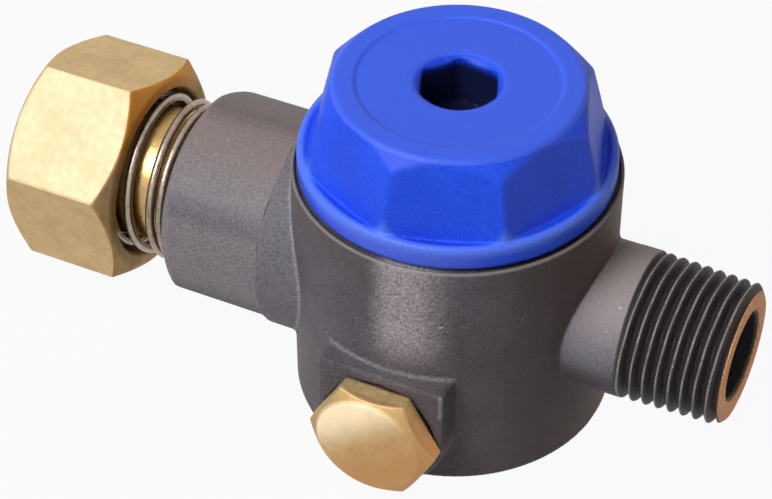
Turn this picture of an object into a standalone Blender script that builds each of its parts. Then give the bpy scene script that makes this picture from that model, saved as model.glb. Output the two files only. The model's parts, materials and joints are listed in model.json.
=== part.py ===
"""Needle valve with a turning cap, a sprung union and a drain plug.

Metres, +Z up along the needle, +X along the pipe toward the taper thread.
The origin is the middle of the flat underside, below the needle.
"""

import math

import bmesh
import bpy
import numpy as np
from mathutils import Matrix, Vector

MM = 0.001

# Fits: every running or seated fit adds this to the inner piece.
CLEAR = 0.3 * MM

# Housing
BODY_RADIUS = 23.0 * MM
BODY_HEIGHT = 39.0 * MM
BASE_CHAMFER = 0.8 * MM
RIM_CHAMFER = 0.3 * MM
RIM_WALL = 0.6 * MM
REBATE_DEPTH = 0.6 * MM
AXIS_DROP = 19.0 * MM

# Male outlet with its taper
NECK_RADIUS = 10.65 * MM
NECK_FLARE = 0.6 * MM
NECK_LENGTH = 5.4 * MM
THREAD_LENGTH = 14.9 * MM
OUTLET_CHAMFER = 0.5 * MM
TAPER = 1.0 / 32.0
OUTLET_BORE = 6.25 * MM

# Hexagonal inlet stub with turned corners
STUB_FLATS = 29.6 * MM
STUB_CORNER = 15.85 * MM
STUB_LENGTH = 16.8 * MM
STUB_STANDOFF = 1.0 * MM
STUB_FACE_RADIUS = 12.8 * MM
STUB_CHAMFER_DEG = 25.0
STUB_NECK_PROUD = 0.15 * MM
STUB_NECK_FLARE = 0.8 * MM
STUB_BORE_DEPTH = 14.8 * MM
INLET_BORE = 6.5 * MM

# Passages inside the housing
CHAMBER_RADIUS = 10.5 * MM
CHAMBER_FLOOR = 13.5 * MM
GALLERY_RADIUS = 4.0 * MM
GALLERY_Z = 6.5 * MM
DROP_WEB = 1.6 * MM
DROP_WALL = 2.3 * MM
DRAIN_RADIUS = 2.0 * MM
DRAIN_Z = 5.9 * MM

# Drain plug and its boss, square above and round below
PLUG_Z = 9.9 * MM
BOSS_HALF = 9.45 * MM
BOSS_TOP = 9.75 * MM
BOSS_RISE = 1.9 * MM
PLUG_STEM_RADIUS = 6.3 * MM
PLUG_STEM_LENGTH = 7.9 * MM
PLUG_HEAD_FLATS = 16.6 * MM
PLUG_HEAD_THICK = 4.0 * MM
PLUG_FACE_RADIUS = 7.9 * MM
PLUG_CHAMFER_DEG = 38.0
PLUG_DOME = 0.4 * MM
PLUG_WASHER_WIDTH = 1.3 * MM
PLUG_WASHER_THICK = 0.8 * MM
PLUG_SPOT_DEPTH = 1.1 * MM

# Cap
FLANGE_HEIGHT = 3.0 * MM
FLANGE_ROUND = 1.4 * MM
OCTAGON_SETBACK = 2.1 * MM
OCTAGON_DRAFT = 2.7 * MM
OCTAGON_TURN_DEG = -48.4
CAP_RISE = 14.7 * MM
CAP_EDGE = 0.4 * MM
CAP_TOP_CHAMFER_DEG = 26.0
SOCKET_FLATS = 10.3 * MM
SOCKET_DEPTH = 8.0 * MM
SOCKET_TURN_DEG = 22.0
SOCKET_LEAD = 0.7 * MM
DRIVE_FLATS = 6.8 * MM
DRIVE_HEIGHT = 5.3 * MM

# Dust seal under the flange
SEAL_SETBACK = 2.1 * MM
SEAL_WIDTH = 1.4 * MM
SEAL_THICK = 1.0 * MM

# Bonnet, spindle and needle
WELL_WALL = 6.0 * MM
BONNET_SINK = 0.8 * MM
BONNET_HEIGHT = 9.8 * MM
BONNET_ROOF = 2.7 * MM
GUIDE_WALL = 2.2 * MM
GUIDE_DROP = 3.8 * MM
CARRIER_FLATS = 12.0 * MM
GUIDE_HOLD = 4.05 * MM
CARRIER_FLOOR = 1.6 * MM
SCREW_RADIUS = 4.0 * MM
SCREW_ROOM = 4.55 * MM
COLLAR_RADIUS = 5.6 * MM
COLLAR_THICK = 1.4 * MM
THRUST_WIDTH = 4.2 * MM
THRUST_THICK = 0.6 * MM
SEAT_FLANGE_RADIUS = 8.0 * MM
SEAT_FLANGE_THICK = 1.8 * MM
SEAT_STEM_RADIUS = 5.7 * MM
SEAT_STEM_LENGTH = 4.5 * MM
SEAT_ORIFICE = 2.75 * MM
SEAT_CONE_DEPTH = 1.7 * MM
SEAT_CONE_WIDTH = 1.45 * MM
TIP_RADIUS = 3.6 * MM
TIP_POINT_RADIUS = 0.8 * MM
TIP_POINT_LENGTH = 4.9 * MM
TIP_SHANK_RADIUS = 2.0 * MM

# Rings of round rubber section
RING_SECTION = 0.5 * MM

# Union
TAIL_RADIUS = 10.0 * MM
TAIL_FLANGE_RADIUS = 11.6 * MM
TAIL_FLANGE_THICK = 2.0 * MM
NUT_FLATS = 30.0 * MM
UNION_GAP = 7.3 * MM
NUT_LENGTH = 17.7 * MM
NUT_FACE_RADIUS = 14.65 * MM
NUT_CHAMFER_DEG = 34.0
NUT_TURN_DEG = 18.4
NUT_RECESS_RADIUS = 12.9 * MM
NUT_RECESS_DEPTH = 4.2 * MM
NUT_SHOULDER = 2.2 * MM
NUT_THREAD_RADIUS = 12.0 * MM
SLIP_THICK = 0.8 * MM
GASKET_THICK = 1.5 * MM
GASKET_HOLE = 7.3 * MM

# Spring
WIRE_RADIUS = 0.55 * MM
SPRING_RADIUS = 11.5 * MM
STUB_TURNS = 1.3
SEAT_TURNS = 0.75
END_PITCH = 1.6 * MM
ACTIVE_TURNS = 1.42
SPRING_START_DEG = -60.0
POINTS_PER_TURN = 10

ROUND = 64
SMALL_ROUND = 40
OVER = 1.0 * MM
OFF_PLANE = 0.37

for item in list(bpy.data.objects):
    bpy.data.objects.remove(item)

parts = bpy.data.collections.new("needle_valve")
cutters = bpy.data.collections.new("cutters")
bpy.context.scene.collection.children.link(parts)
bpy.context.scene.collection.children.link(cutters)


def paint(name, colour, metallic, roughness):
    material = bpy.data.materials.new(name)
    material.use_nodes = True
    shader = material.node_tree.nodes["Principled BSDF"]
    shader.inputs["Base Color"].default_value = (*colour, 1.0)
    shader.inputs["Metallic"].default_value = metallic
    shader.inputs["Roughness"].default_value = roughness
    return material


IRON = (0.075, 0.07, 0.075)
BLUE = (0.03, 0.09, 0.75)
BRASS = (0.62, 0.42, 0.15)
STEEL = (0.55, 0.54, 0.52)
RUBBER = (0.012, 0.012, 0.012)
FIBRE = (0.32, 0.06, 0.03)
PLASTIC = (0.75, 0.74, 0.7)

# Places on the pipe and round the needle that follow the body's own size.
axis_height = BODY_HEIGHT - AXIS_DROP
neck_end_x = BODY_RADIUS + NECK_LENGTH
outlet_end_x = neck_end_x + THREAD_LENGTH
stub_step_x = -(BODY_RADIUS + STUB_STANDOFF)
stub_end_x = stub_step_x - STUB_LENGTH
nut_right_x = stub_end_x - UNION_GAP
drop_radius = (BODY_RADIUS - CHAMBER_RADIUS - DROP_WEB - DROP_WALL) / 2
drop_x = -(CHAMBER_RADIUS + DROP_WEB + drop_radius)
boss_front = BODY_RADIUS + BOSS_RISE
bonnet_bore = BODY_RADIUS - WELL_WALL
bonnet_radius = bonnet_bore - CLEAR
rebate_radius = BODY_RADIUS - RIM_WALL
flange_radius = rebate_radius - CLEAR
octagon_low_flat = flange_radius - OCTAGON_SETBACK
octagon_high_flat = octagon_low_flat - OCTAGON_DRAFT
cap_top_radius = octagon_high_flat - CAP_EDGE

# Frames that carry a shape drawn along its own Z to its place.
UPRIGHT = Matrix.Identity(4)
ALONG_X = Matrix.Translation((0, 0, axis_height)) @ Matrix.Rotation(math.pi / 2, 4, "Y")
ALONG_Y = Matrix.Translation((0, 0, PLUG_Z)) @ Matrix.Rotation(math.pi / 2, 4, "X")


def add(name, bm, frame, helper, colour=None, metallic=0.0, roughness=0.5):
    """One object from a bmesh drawn in its own frame, closed and outward."""
    bm.transform(frame)
    bmesh.ops.remove_doubles(bm, verts=bm.verts, dist=1e-7)
    bmesh.ops.recalc_face_normals(bm, faces=bm.faces)
    mesh = bpy.data.meshes.new(name)
    bm.to_mesh(mesh)
    bm.free()
    mesh.polygons.foreach_set("use_smooth", [True] * len(mesh.polygons))
    mesh.set_sharp_from_angle(angle=math.radians(28))
    item = bpy.data.objects.new(name, mesh)
    if helper:
        cutters.objects.link(item)
        item.hide_render = True
        item.display_type = "WIRE"
        return item
    parts.objects.link(item)
    mesh.materials.append(paint(name, colour, metallic, roughness))
    return item


def revolve(outline, count):
    """A closed outline of (radius, height) points turned about Z.

    The first point stands off the planes of symmetry, where crossing edges would meet.
    """
    bm = bmesh.new()
    rows = []
    for radius, height in outline:
        if radius < 1e-9:
            rows.append([bm.verts.new((0, 0, height))] * count)
            continue
        row = []
        for step in range(count):
            angle = 2 * math.pi * (step + OFF_PLANE) / count
            row.append(bm.verts.new((radius * math.cos(angle), radius * math.sin(angle), height)))
        rows.append(row)
    for i, row in enumerate(rows):
        after = rows[(i + 1) % len(rows)]
        level = abs(outline[i][1] - outline[(i + 1) % len(rows)][1]) < 1e-9
        if level and row[0] is row[1]:
            bm.faces.new(after)
            continue
        if level and after[0] is after[1]:
            bm.faces.new(row)
            continue
        for step in range(count):
            following = (step + 1) % count
            corners = [row[step], row[following], after[following], after[step]]
            unique = list(dict.fromkeys(corners))
            if len(unique) > 2:
                bm.faces.new(unique)
    loose = [point for point in bm.verts if not point.link_faces]
    bmesh.ops.delete(bm, geom=loose, context="VERTS")
    return bm


def prism(sides, low_flat, high_flat, low, high, turn_deg):
    """A straight or drafted prism along Z, given by its distance to the flats."""
    bm = bmesh.new()
    rings = []
    for flat, height in ((low_flat, low), (high_flat, high)):
        corner = flat / math.cos(math.pi / sides)
        ring = []
        for step in range(sides):
            angle = math.radians(turn_deg) + 2 * math.pi * step / sides
            ring.append(bm.verts.new((corner * math.cos(angle), corner * math.sin(angle), height)))
        rings.append(ring)
    bm.faces.new(rings[0])
    bm.faces.new(rings[1])
    for step in range(sides):
        following = (step + 1) % sides
        bm.faces.new((rings[0][step], rings[0][following], rings[1][following], rings[1][step]))
    return bm


def slab(outline, low, high):
    """A flat outline of (x, y) points drawn out along Z."""
    bm = bmesh.new()
    rings = [[bm.verts.new((x, y, height)) for x, y in outline] for height in (low, high)]
    bm.faces.new(rings[0])
    bm.faces.new(rings[1])
    for step in range(len(outline)):
        following = (step + 1) % len(outline)
        bm.faces.new((rings[0][step], rings[0][following], rings[1][following], rings[1][step]))
    return bm


def rod(radius, low, high):
    return [(0, low), (radius, low), (radius, high), (0, high)]


def tube(inner, outer, low, high):
    return [(inner, low), (outer, low), (outer, high), (inner, high)]


def ring_section(radius, height, section):
    """The outline of a rubber ring of round section."""
    points = []
    for step in range(8):
        angle = 2 * math.pi * step / 8
        points.append((radius + section * math.cos(angle), height + section * math.sin(angle)))
    return points


def combine(item, other, operation):
    change = item.modifiers.new(other.name, "BOOLEAN")
    change.operation = operation
    change.solver = "EXACT"
    change.object = other


def helper(name, bm, frame):
    return add(name, bm, frame, True)


def turned_part(name, outline, frame, look, count=SMALL_ROUND):
    return add(name, revolve(outline, count), frame, False, *look)


def set_origin(item, point):
    """Puts the object's origin on its joint axis without moving its shape."""
    item.data.transform(Matrix.Translation(-Vector(point)))
    item.location = point


IRON_LOOK = (IRON, 0.6, 0.5)
BLUE_LOOK = (BLUE, 0.0, 0.4)
BRASS_LOOK = (BRASS, 1.0, 0.3)
STEEL_LOOK = (STEEL, 1.0, 0.3)
RUBBER_LOOK = (RUBBER, 0.0, 0.6)
FIBRE_LOOK = (FIBRE, 0.0, 0.7)
PLASTIC_LOOK = (PLASTIC, 0.0, 0.5)

# Heights along the needle, each from the piece below it.
rebate_floor = BODY_HEIGHT - REBATE_DEPTH
bonnet_top = rebate_floor - BONNET_SINK
bonnet_low = bonnet_top - BONNET_HEIGHT
ledge = bonnet_low - CLEAR
guide_low = bonnet_low - GUIDE_DROP
thrust_low = bonnet_top + CLEAR
cap_low = thrust_low + THRUST_THICK + CLEAR
flange_top = cap_low + FLANGE_HEIGHT
cap_top = cap_low + CAP_RISE
socket_floor = cap_top - SOCKET_DEPTH
roof_low = bonnet_top - BONNET_ROOF
collar_top = roof_low - CLEAR
seat_top = CHAMBER_FLOOR + CLEAR + SEAT_FLANGE_THICK
tip_low = seat_top + CLEAR * 0.5
tip_high = tip_low + 1.8 * MM
carrier_low = tip_high + CLEAR
carrier_top = guide_low + GUIDE_HOLD
carrier_floor = carrier_low + CARRIER_FLOOR
screw_end = carrier_floor + SCREW_ROOM

# Places along the pipe, each from the piece to its right.
bore_end_x = stub_end_x + STUB_BORE_DEPTH
tail_inner_x = bore_end_x - CLEAR
nut_left_x = nut_right_x - NUT_LENGTH
recess_x = nut_right_x - NUT_RECESS_DEPTH
shoulder_x = recess_x - NUT_SHOULDER
slip_left_x = recess_x + CLEAR
slip_right_x = slip_left_x + SLIP_THICK
flange_right_x = shoulder_x - CLEAR
flange_left_x = flange_right_x - TAIL_FLANGE_THICK
gasket_right_x = flange_left_x - CLEAR
gasket_left_x = gasket_right_x - GASKET_THICK

# Places along the drain plug, outward from the needle.
spot_floor = boss_front - PLUG_SPOT_DEPTH
washer_in = spot_floor + CLEAR
washer_out = washer_in + PLUG_WASHER_THICK
head_in = washer_out + CLEAR
head_out = head_in + PLUG_HEAD_THICK
stem_end = head_in - PLUG_STEM_LENGTH
plug_hole_end = stem_end - 2 * CLEAR
washer_hole = PLUG_STEM_RADIUS + CLEAR
washer_rim = washer_hole + PLUG_WASHER_WIDTH

# Housing: turned drum, hexagonal stub, taper spigot and drain boss, then its passages.
housing_outline = [
    (0, 0),
    (BODY_RADIUS - BASE_CHAMFER, 0),
    (BODY_RADIUS, BASE_CHAMFER),
    (BODY_RADIUS, BODY_HEIGHT - RIM_CHAMFER),
    (BODY_RADIUS - RIM_CHAMFER, BODY_HEIGHT),
    (0, BODY_HEIGHT),
]
valve_body = turned_part("valve_body", housing_outline, UPRIGHT, IRON_LOOK, ROUND)

stub_flat = STUB_FLATS / 2
stub_inside_x = -BODY_RADIUS * 0.6
stub_neck_radius = STUB_CORNER + STUB_NECK_PROUD
stub = helper("stub", prism(6, stub_flat, stub_flat, stub_end_x - OVER, stub_step_x + OVER, 0), ALONG_X)
stub_cone = (STUB_CORNER - STUB_FACE_RADIUS) * math.tan(math.radians(STUB_CHAMFER_DEG))
stub_hull = [
    (0, stub_end_x),
    (STUB_FACE_RADIUS, stub_end_x),
    (STUB_CORNER, stub_end_x + stub_cone),
    (STUB_CORNER, stub_step_x + 2 * OVER),
    (0, stub_step_x + 2 * OVER),
]
combine(stub, helper("stub_hull", revolve(stub_hull, ROUND), ALONG_X), "INTERSECT")
stub_neck = [
    (0, stub_step_x),
    (stub_neck_radius, stub_step_x),
    (stub_neck_radius, stub_step_x + OVER),
    (stub_neck_radius + STUB_NECK_FLARE, -BODY_RADIUS * 0.8),
    (stub_neck_radius + STUB_NECK_FLARE, stub_inside_x),
    (0, stub_inside_x),
]
spigot_tip = NECK_RADIUS - (outlet_end_x - neck_end_x) * TAPER
spigot = [
    (0, BODY_RADIUS * 0.6),
    (NECK_RADIUS + NECK_FLARE, BODY_RADIUS * 0.6),
    (NECK_RADIUS + NECK_FLARE, BODY_RADIUS * 0.88),
    (NECK_RADIUS + NECK_FLARE * 0.25, BODY_RADIUS + NECK_FLARE * 0.2),
    (NECK_RADIUS, BODY_RADIUS + NECK_FLARE),
    (NECK_RADIUS, neck_end_x),
    (spigot_tip + OUTLET_CHAMFER * TAPER, outlet_end_x - OUTLET_CHAMFER),
    (spigot_tip - OUTLET_CHAMFER, outlet_end_x),
    (0, outlet_end_x),
]
boss_outline = [(BOSS_HALF, BOSS_TOP), (-BOSS_HALF, BOSS_TOP)]
for step in range(25):
    angle = math.pi * (1 + step / 24)
    boss_outline.append((BOSS_HALF * math.cos(angle), BOSS_HALF * math.sin(angle)))
combine(valve_body, stub, "UNION")
combine(valve_body, helper("stub_neck", revolve(stub_neck, ROUND), ALONG_X), "UNION")
combine(valve_body, helper("spigot", revolve(spigot, ROUND), ALONG_X), "UNION")
boss = helper("boss", slab(boss_outline, BODY_RADIUS * 0.55, boss_front), ALONG_Y)
combine(valve_body, boss, "UNION")

seat_hole = SEAT_STEM_RADIUS + CLEAR
seat_stem_low = CHAMBER_FLOOR + CLEAR - SEAT_STEM_LENGTH
well = [
    (0, seat_stem_low - CLEAR),
    (seat_hole, seat_stem_low - CLEAR),
    (seat_hole, CHAMBER_FLOOR),
    (CHAMBER_RADIUS, CHAMBER_FLOOR),
    (CHAMBER_RADIUS, ledge),
    (bonnet_bore, ledge),
    (bonnet_bore, rebate_floor),
    (rebate_radius, rebate_floor),
    (rebate_radius, BODY_HEIGHT + OVER),
    (0, BODY_HEIGHT + OVER),
]
stub_bore = TAIL_RADIUS + CLEAR
inlet = [
    (0, stub_end_x - OVER),
    (stub_bore, stub_end_x - OVER),
    (stub_bore, bore_end_x),
    (INLET_BORE, bore_end_x),
    (INLET_BORE, drop_x + drop_radius * 0.5),
    (0, drop_x + drop_radius * 0.5),
]
plug_hole = [
    (0, plug_hole_end),
    (washer_hole, plug_hole_end),
    (washer_hole, spot_floor),
    (washer_rim + CLEAR, spot_floor),
    (washer_rim + CLEAR, boss_front + OVER),
    (0, boss_front + OVER),
]
drop = rod(drop_radius, GALLERY_Z - GALLERY_RADIUS * 0.3, axis_height + INLET_BORE * 0.3)
gallery = rod(GALLERY_RADIUS, drop_x - OVER, CHAMBER_RADIUS * 0.8)
outlet = rod(OUTLET_BORE, CHAMBER_RADIUS * 0.85, outlet_end_x + OVER)
drain_frame = Matrix.Translation((0, 0, DRAIN_Z)) @ Matrix.Rotation(math.pi / 2, 4, "X")
gallery_frame = Matrix.Translation((0, 0, GALLERY_Z)) @ Matrix.Rotation(math.pi / 2, 4, "Y")
drop_frame = Matrix.Translation((drop_x, 0, 0))
cuts = [
    ("well", revolve(well, ROUND), UPRIGHT),
    ("outlet_bore", revolve(outlet, SMALL_ROUND), ALONG_X),
    ("inlet_bore", revolve(inlet, SMALL_ROUND), ALONG_X),
    ("drop", revolve(drop, 32), drop_frame),
    ("gallery", revolve(gallery, 32), gallery_frame),
    ("plug_hole", revolve(plug_hole, SMALL_ROUND), ALONG_Y),
    ("drain", revolve(rod(DRAIN_RADIUS, GALLERY_RADIUS * 0.5, plug_hole_end + OVER), 24), drain_frame),
]
for name, shape, frame in cuts:
    combine(valve_body, helper(name, shape, frame), "DIFFERENCE")

# Cap: flange, drafted octagon under a shallow cone, socket above and drive pocket below.
round_steps = 4
flange = [(0, cap_low), (flange_radius - FLANGE_ROUND * 0.4, cap_low)]
flange.append((flange_radius, cap_low + FLANGE_ROUND * 0.6))
for step in range(round_steps + 1):
    angle = math.pi / 2 * step / round_steps
    across = flange_radius - FLANGE_ROUND + FLANGE_ROUND * math.cos(angle)
    flange.append((across, flange_top - FLANGE_ROUND + FLANGE_ROUND * math.sin(angle)))
flange.append((0, flange_top))
adjusting_cap = turned_part("adjusting_cap", flange, UPRIGHT, BLUE_LOOK, ROUND)
draft = (octagon_low_flat - octagon_high_flat) / (cap_top - flange_top)
octagon_low = flange_top - FLANGE_ROUND / 2
octagon_base = octagon_low_flat + draft * FLANGE_ROUND / 2
octagon_peak = octagon_high_flat - draft * OVER
octagon_shape = prism(8, octagon_base, octagon_peak, octagon_low, cap_top + OVER, 0)
octagon_frame = Matrix.Rotation(math.radians(OCTAGON_TURN_DEG - 90), 4, "Z")
octagon = helper("octagon", octagon_shape, octagon_frame)
crown_wide = octagon_low_flat * 1.2
crown_fall = (crown_wide - cap_top_radius) * math.tan(math.radians(CAP_TOP_CHAMFER_DEG))
crown = [
    (0, octagon_low - OVER),
    (crown_wide, octagon_low - OVER),
    (crown_wide, cap_top - crown_fall),
    (cap_top_radius, cap_top),
    (0, cap_top),
]
combine(octagon, helper("crown", revolve(crown, ROUND), UPRIGHT), "INTERSECT")
combine(adjusting_cap, octagon, "UNION")
socket_flat = SOCKET_FLATS / 2
socket_shape = prism(6, socket_flat, socket_flat, socket_floor, cap_top + OVER, SOCKET_TURN_DEG - 90)
combine(adjusting_cap, helper("key_socket", socket_shape, UPRIGHT), "DIFFERENCE")
lead_wide = SOCKET_FLATS / 2 / math.cos(math.pi / 6) + SOCKET_LEAD * 0.3
lead = [
    (0, cap_top - lead_wide),
    (lead_wide + SOCKET_LEAD, cap_top + SOCKET_LEAD),
    (0, cap_top + SOCKET_LEAD),
]
combine(adjusting_cap, helper("socket_lead", revolve(lead, SMALL_ROUND), UPRIGHT), "DIFFERENCE")
pocket_flat = DRIVE_FLATS / 2 + CLEAR
drive_low = cap_low - CLEAR * 2
drive_top = drive_low + DRIVE_HEIGHT
pocket = prism(6, pocket_flat, pocket_flat, cap_low - OVER, drive_top + CLEAR, 0)
combine(adjusting_cap, helper("drive_pocket", pocket, UPRIGHT), "DIFFERENCE")
seal_low = rebate_floor + CLEAR
seal_outer = flange_radius - SEAL_SETBACK
seal_inner = seal_outer - SEAL_WIDTH
groove = tube(seal_inner - CLEAR, seal_outer + CLEAR, cap_low - OVER, seal_low + SEAL_THICK + CLEAR)
combine(adjusting_cap, helper("seal_groove", revolve(groove, ROUND), UPRIGHT), "DIFFERENCE")
turned_part("dust_seal", tube(seal_inner, seal_outer, seal_low, seal_low + SEAL_THICK), UPRIGHT, RUBBER_LOOK)

# Spindle: drive hexagon, collar and lead screw.
spindle_outline = [
    (0, screw_end),
    (SCREW_RADIUS, screw_end),
    (SCREW_RADIUS, collar_top - COLLAR_THICK),
    (COLLAR_RADIUS, collar_top - COLLAR_THICK),
    (COLLAR_RADIUS, collar_top),
    (SCREW_RADIUS, collar_top),
    (SCREW_RADIUS, drive_low),
    (0, drive_low),
]
spindle = turned_part("spindle", spindle_outline, UPRIGHT, STEEL_LOOK)
drive = prism(6, DRIVE_FLATS / 2, DRIVE_FLATS / 2, drive_low - OVER, drive_top, 0)
combine(spindle, helper("drive", drive, UPRIGHT), "UNION")

thrust_inner = SCREW_RADIUS + 2 * CLEAR
thrust = tube(thrust_inner, thrust_inner + THRUST_WIDTH, thrust_low, thrust_low + THRUST_THICK)
turned_part("thrust_washer", thrust, UPRIGHT, PLASTIC_LOOK)

# Bonnet with its hexagonal guide, and the rings that seal it.
guide_flat = CARRIER_FLATS / 2 + CLEAR
guide_outer = guide_flat / math.cos(math.pi / 6) + GUIDE_WALL
ring_room = RING_SECTION + CLEAR
outer_ring_radius = bonnet_radius - RING_SECTION - CLEAR / 3
outer_ring_z = bonnet_low + BONNET_HEIGHT * 0.35
shaft_hole = SCREW_RADIUS + CLEAR
shaft_ring_radius = shaft_hole + RING_SECTION
shaft_ring_z = roof_low + BONNET_ROOF / 2
bonnet_outline = [
    (guide_flat * 0.5, guide_low),
    (guide_outer, guide_low),
    (guide_outer, bonnet_low),
    (bonnet_radius, bonnet_low),
    (bonnet_radius, outer_ring_z - ring_room),
    (outer_ring_radius - ring_room, outer_ring_z - ring_room),
    (outer_ring_radius - ring_room, outer_ring_z + ring_room),
    (bonnet_radius, outer_ring_z + ring_room),
    (bonnet_radius, bonnet_top),
    (shaft_hole, bonnet_top),
    (shaft_hole, shaft_ring_z + ring_room),
    (shaft_ring_radius + ring_room, shaft_ring_z + ring_room),
    (shaft_ring_radius + ring_room, shaft_ring_z - ring_room),
    (shaft_hole, shaft_ring_z - ring_room),
    (shaft_hole, roof_low - OVER),
    (guide_flat * 0.5, roof_low - OVER),
]
bonnet = turned_part("bonnet", bonnet_outline, UPRIGHT, BRASS_LOOK, ROUND)
guide = prism(6, guide_flat, guide_flat, guide_low - OVER, roof_low, 0)
combine(bonnet, helper("guide", guide, UPRIGHT), "DIFFERENCE")
turned_part("bonnet_ring", ring_section(outer_ring_radius, outer_ring_z, RING_SECTION), UPRIGHT, RUBBER_LOOK)
spindle_ring = ring_section(shaft_ring_radius, shaft_ring_z, RING_SECTION)
turned_part("spindle_ring", spindle_ring, UPRIGHT, RUBBER_LOOK)

# Needle: a hexagonal carrier that can't turn, and its hard tip.
carrier = add(
    "needle_carrier",
    prism(6, CARRIER_FLATS / 2, CARRIER_FLATS / 2, carrier_low, carrier_top, 0),
    UPRIGHT,
    False,
    *BRASS_LOOK,
)
carrier_hole = [
    (0, carrier_low - OVER),
    (TIP_SHANK_RADIUS + CLEAR, carrier_low - OVER),
    (TIP_SHANK_RADIUS + CLEAR, carrier_floor),
    (SCREW_RADIUS + CLEAR, carrier_floor),
    (SCREW_RADIUS + CLEAR, carrier_top + OVER),
    (0, carrier_top + OVER),
]
combine(carrier, helper("carrier_hole", revolve(carrier_hole, SMALL_ROUND), UPRIGHT), "DIFFERENCE")
tip_neck_z = seat_top - SEAT_CONE_DEPTH
tip_outline = [
    (0, tip_neck_z - TIP_POINT_LENGTH),
    (TIP_POINT_RADIUS, tip_neck_z - TIP_POINT_LENGTH),
    (SEAT_ORIFICE - CLEAR * 1.4, tip_neck_z),
    (TIP_RADIUS, tip_low),
    (TIP_RADIUS, tip_high),
    (TIP_SHANK_RADIUS, tip_high),
    (TIP_SHANK_RADIUS, carrier_floor - CLEAR),
    (0, carrier_floor - CLEAR),
]
turned_part("needle_tip", tip_outline, UPRIGHT, STEEL_LOOK)

# Seat with the ring on its stem.
seat_ring_radius = SEAT_STEM_RADIUS - RING_SECTION + CLEAR / 6
seat_ring_z = CHAMBER_FLOOR + CLEAR - SEAT_STEM_LENGTH * 0.5
seat_outline = [
    (SEAT_ORIFICE, seat_stem_low),
    (SEAT_STEM_RADIUS, seat_stem_low),
    (SEAT_STEM_RADIUS, seat_ring_z - ring_room),
    (seat_ring_radius - ring_room, seat_ring_z - ring_room),
    (seat_ring_radius - ring_room, seat_ring_z + ring_room),
    (SEAT_STEM_RADIUS, seat_ring_z + ring_room),
    (SEAT_STEM_RADIUS, CHAMBER_FLOOR + CLEAR),
    (SEAT_FLANGE_RADIUS, CHAMBER_FLOOR + CLEAR),
    (SEAT_FLANGE_RADIUS, seat_top),
    (SEAT_ORIFICE + SEAT_CONE_WIDTH, seat_top),
    (SEAT_ORIFICE, seat_top - SEAT_CONE_DEPTH),
]
turned_part("seat", seat_outline, UPRIGHT, BRASS_LOOK)
turned_part("seat_ring", ring_section(seat_ring_radius, seat_ring_z, RING_SECTION), UPRIGHT, RUBBER_LOOK)

# Union: tail, gasket, spring seat and nut.
tail_ring_radius = TAIL_RADIUS - RING_SECTION - CLEAR / 3
tail_ring_x = tail_inner_x - RING_SECTION * 5
tail_outline = [
    (INLET_BORE, flange_left_x),
    (TAIL_FLANGE_RADIUS, flange_left_x),
    (TAIL_FLANGE_RADIUS, flange_right_x),
    (TAIL_RADIUS, flange_right_x),
    (TAIL_RADIUS, tail_ring_x - ring_room),
    (tail_ring_radius - ring_room, tail_ring_x - ring_room),
    (tail_ring_radius - ring_room, tail_ring_x + ring_room),
    (TAIL_RADIUS, tail_ring_x + ring_room),
    (TAIL_RADIUS, tail_inner_x),
    (INLET_BORE, tail_inner_x),
]
turned_part("union_tail", tail_outline, ALONG_X, BRASS_LOOK)
turned_part("tail_ring", ring_section(tail_ring_radius, tail_ring_x, RING_SECTION), ALONG_X, RUBBER_LOOK)
gasket = tube(GASKET_HOLE, TAIL_FLANGE_RADIUS, gasket_left_x, gasket_right_x)
turned_part("union_gasket", gasket, ALONG_X, FIBRE_LOOK)
slip = tube(TAIL_RADIUS + CLEAR, NUT_RECESS_RADIUS - CLEAR, slip_left_x, slip_right_x)
slip_washer = turned_part("slip_washer", slip, ALONG_X, STEEL_LOOK)

nut_turn = math.radians(NUT_TURN_DEG)
nut_frame = ALONG_X @ Matrix.Rotation(-math.pi / 2 - nut_turn, 4, "Z")
union_nut = add(
    "union_nut",
    prism(6, NUT_FLATS / 2, NUT_FLATS / 2, nut_left_x - OVER, nut_right_x + OVER, 0),
    nut_frame,
    False,
    *BRASS_LOOK,
)
nut_wide = NUT_FLATS * 0.62
nut_cone = (nut_wide - NUT_FACE_RADIUS) * math.tan(math.radians(NUT_CHAMFER_DEG))
nut_hull = [
    (0, nut_left_x),
    (NUT_FACE_RADIUS, nut_left_x),
    (nut_wide, nut_left_x + nut_cone),
    (nut_wide, nut_right_x - nut_cone),
    (NUT_FACE_RADIUS, nut_right_x),
    (0, nut_right_x),
]
combine(union_nut, helper("nut_hull", revolve(nut_hull, ROUND), ALONG_X), "INTERSECT")
nut_hole = [
    (0, nut_left_x - OVER),
    (NUT_THREAD_RADIUS, nut_left_x - OVER),
    (NUT_THREAD_RADIUS, shoulder_x),
    (TAIL_RADIUS + CLEAR, shoulder_x),
    (TAIL_RADIUS + CLEAR, recess_x),
    (NUT_RECESS_RADIUS, recess_x),
    (NUT_RECESS_RADIUS, nut_right_x + OVER),
    (0, nut_right_x + OVER),
]
combine(union_nut, helper("nut_hole", revolve(nut_hole, ROUND), ALONG_X), "DIFFERENCE")

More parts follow.
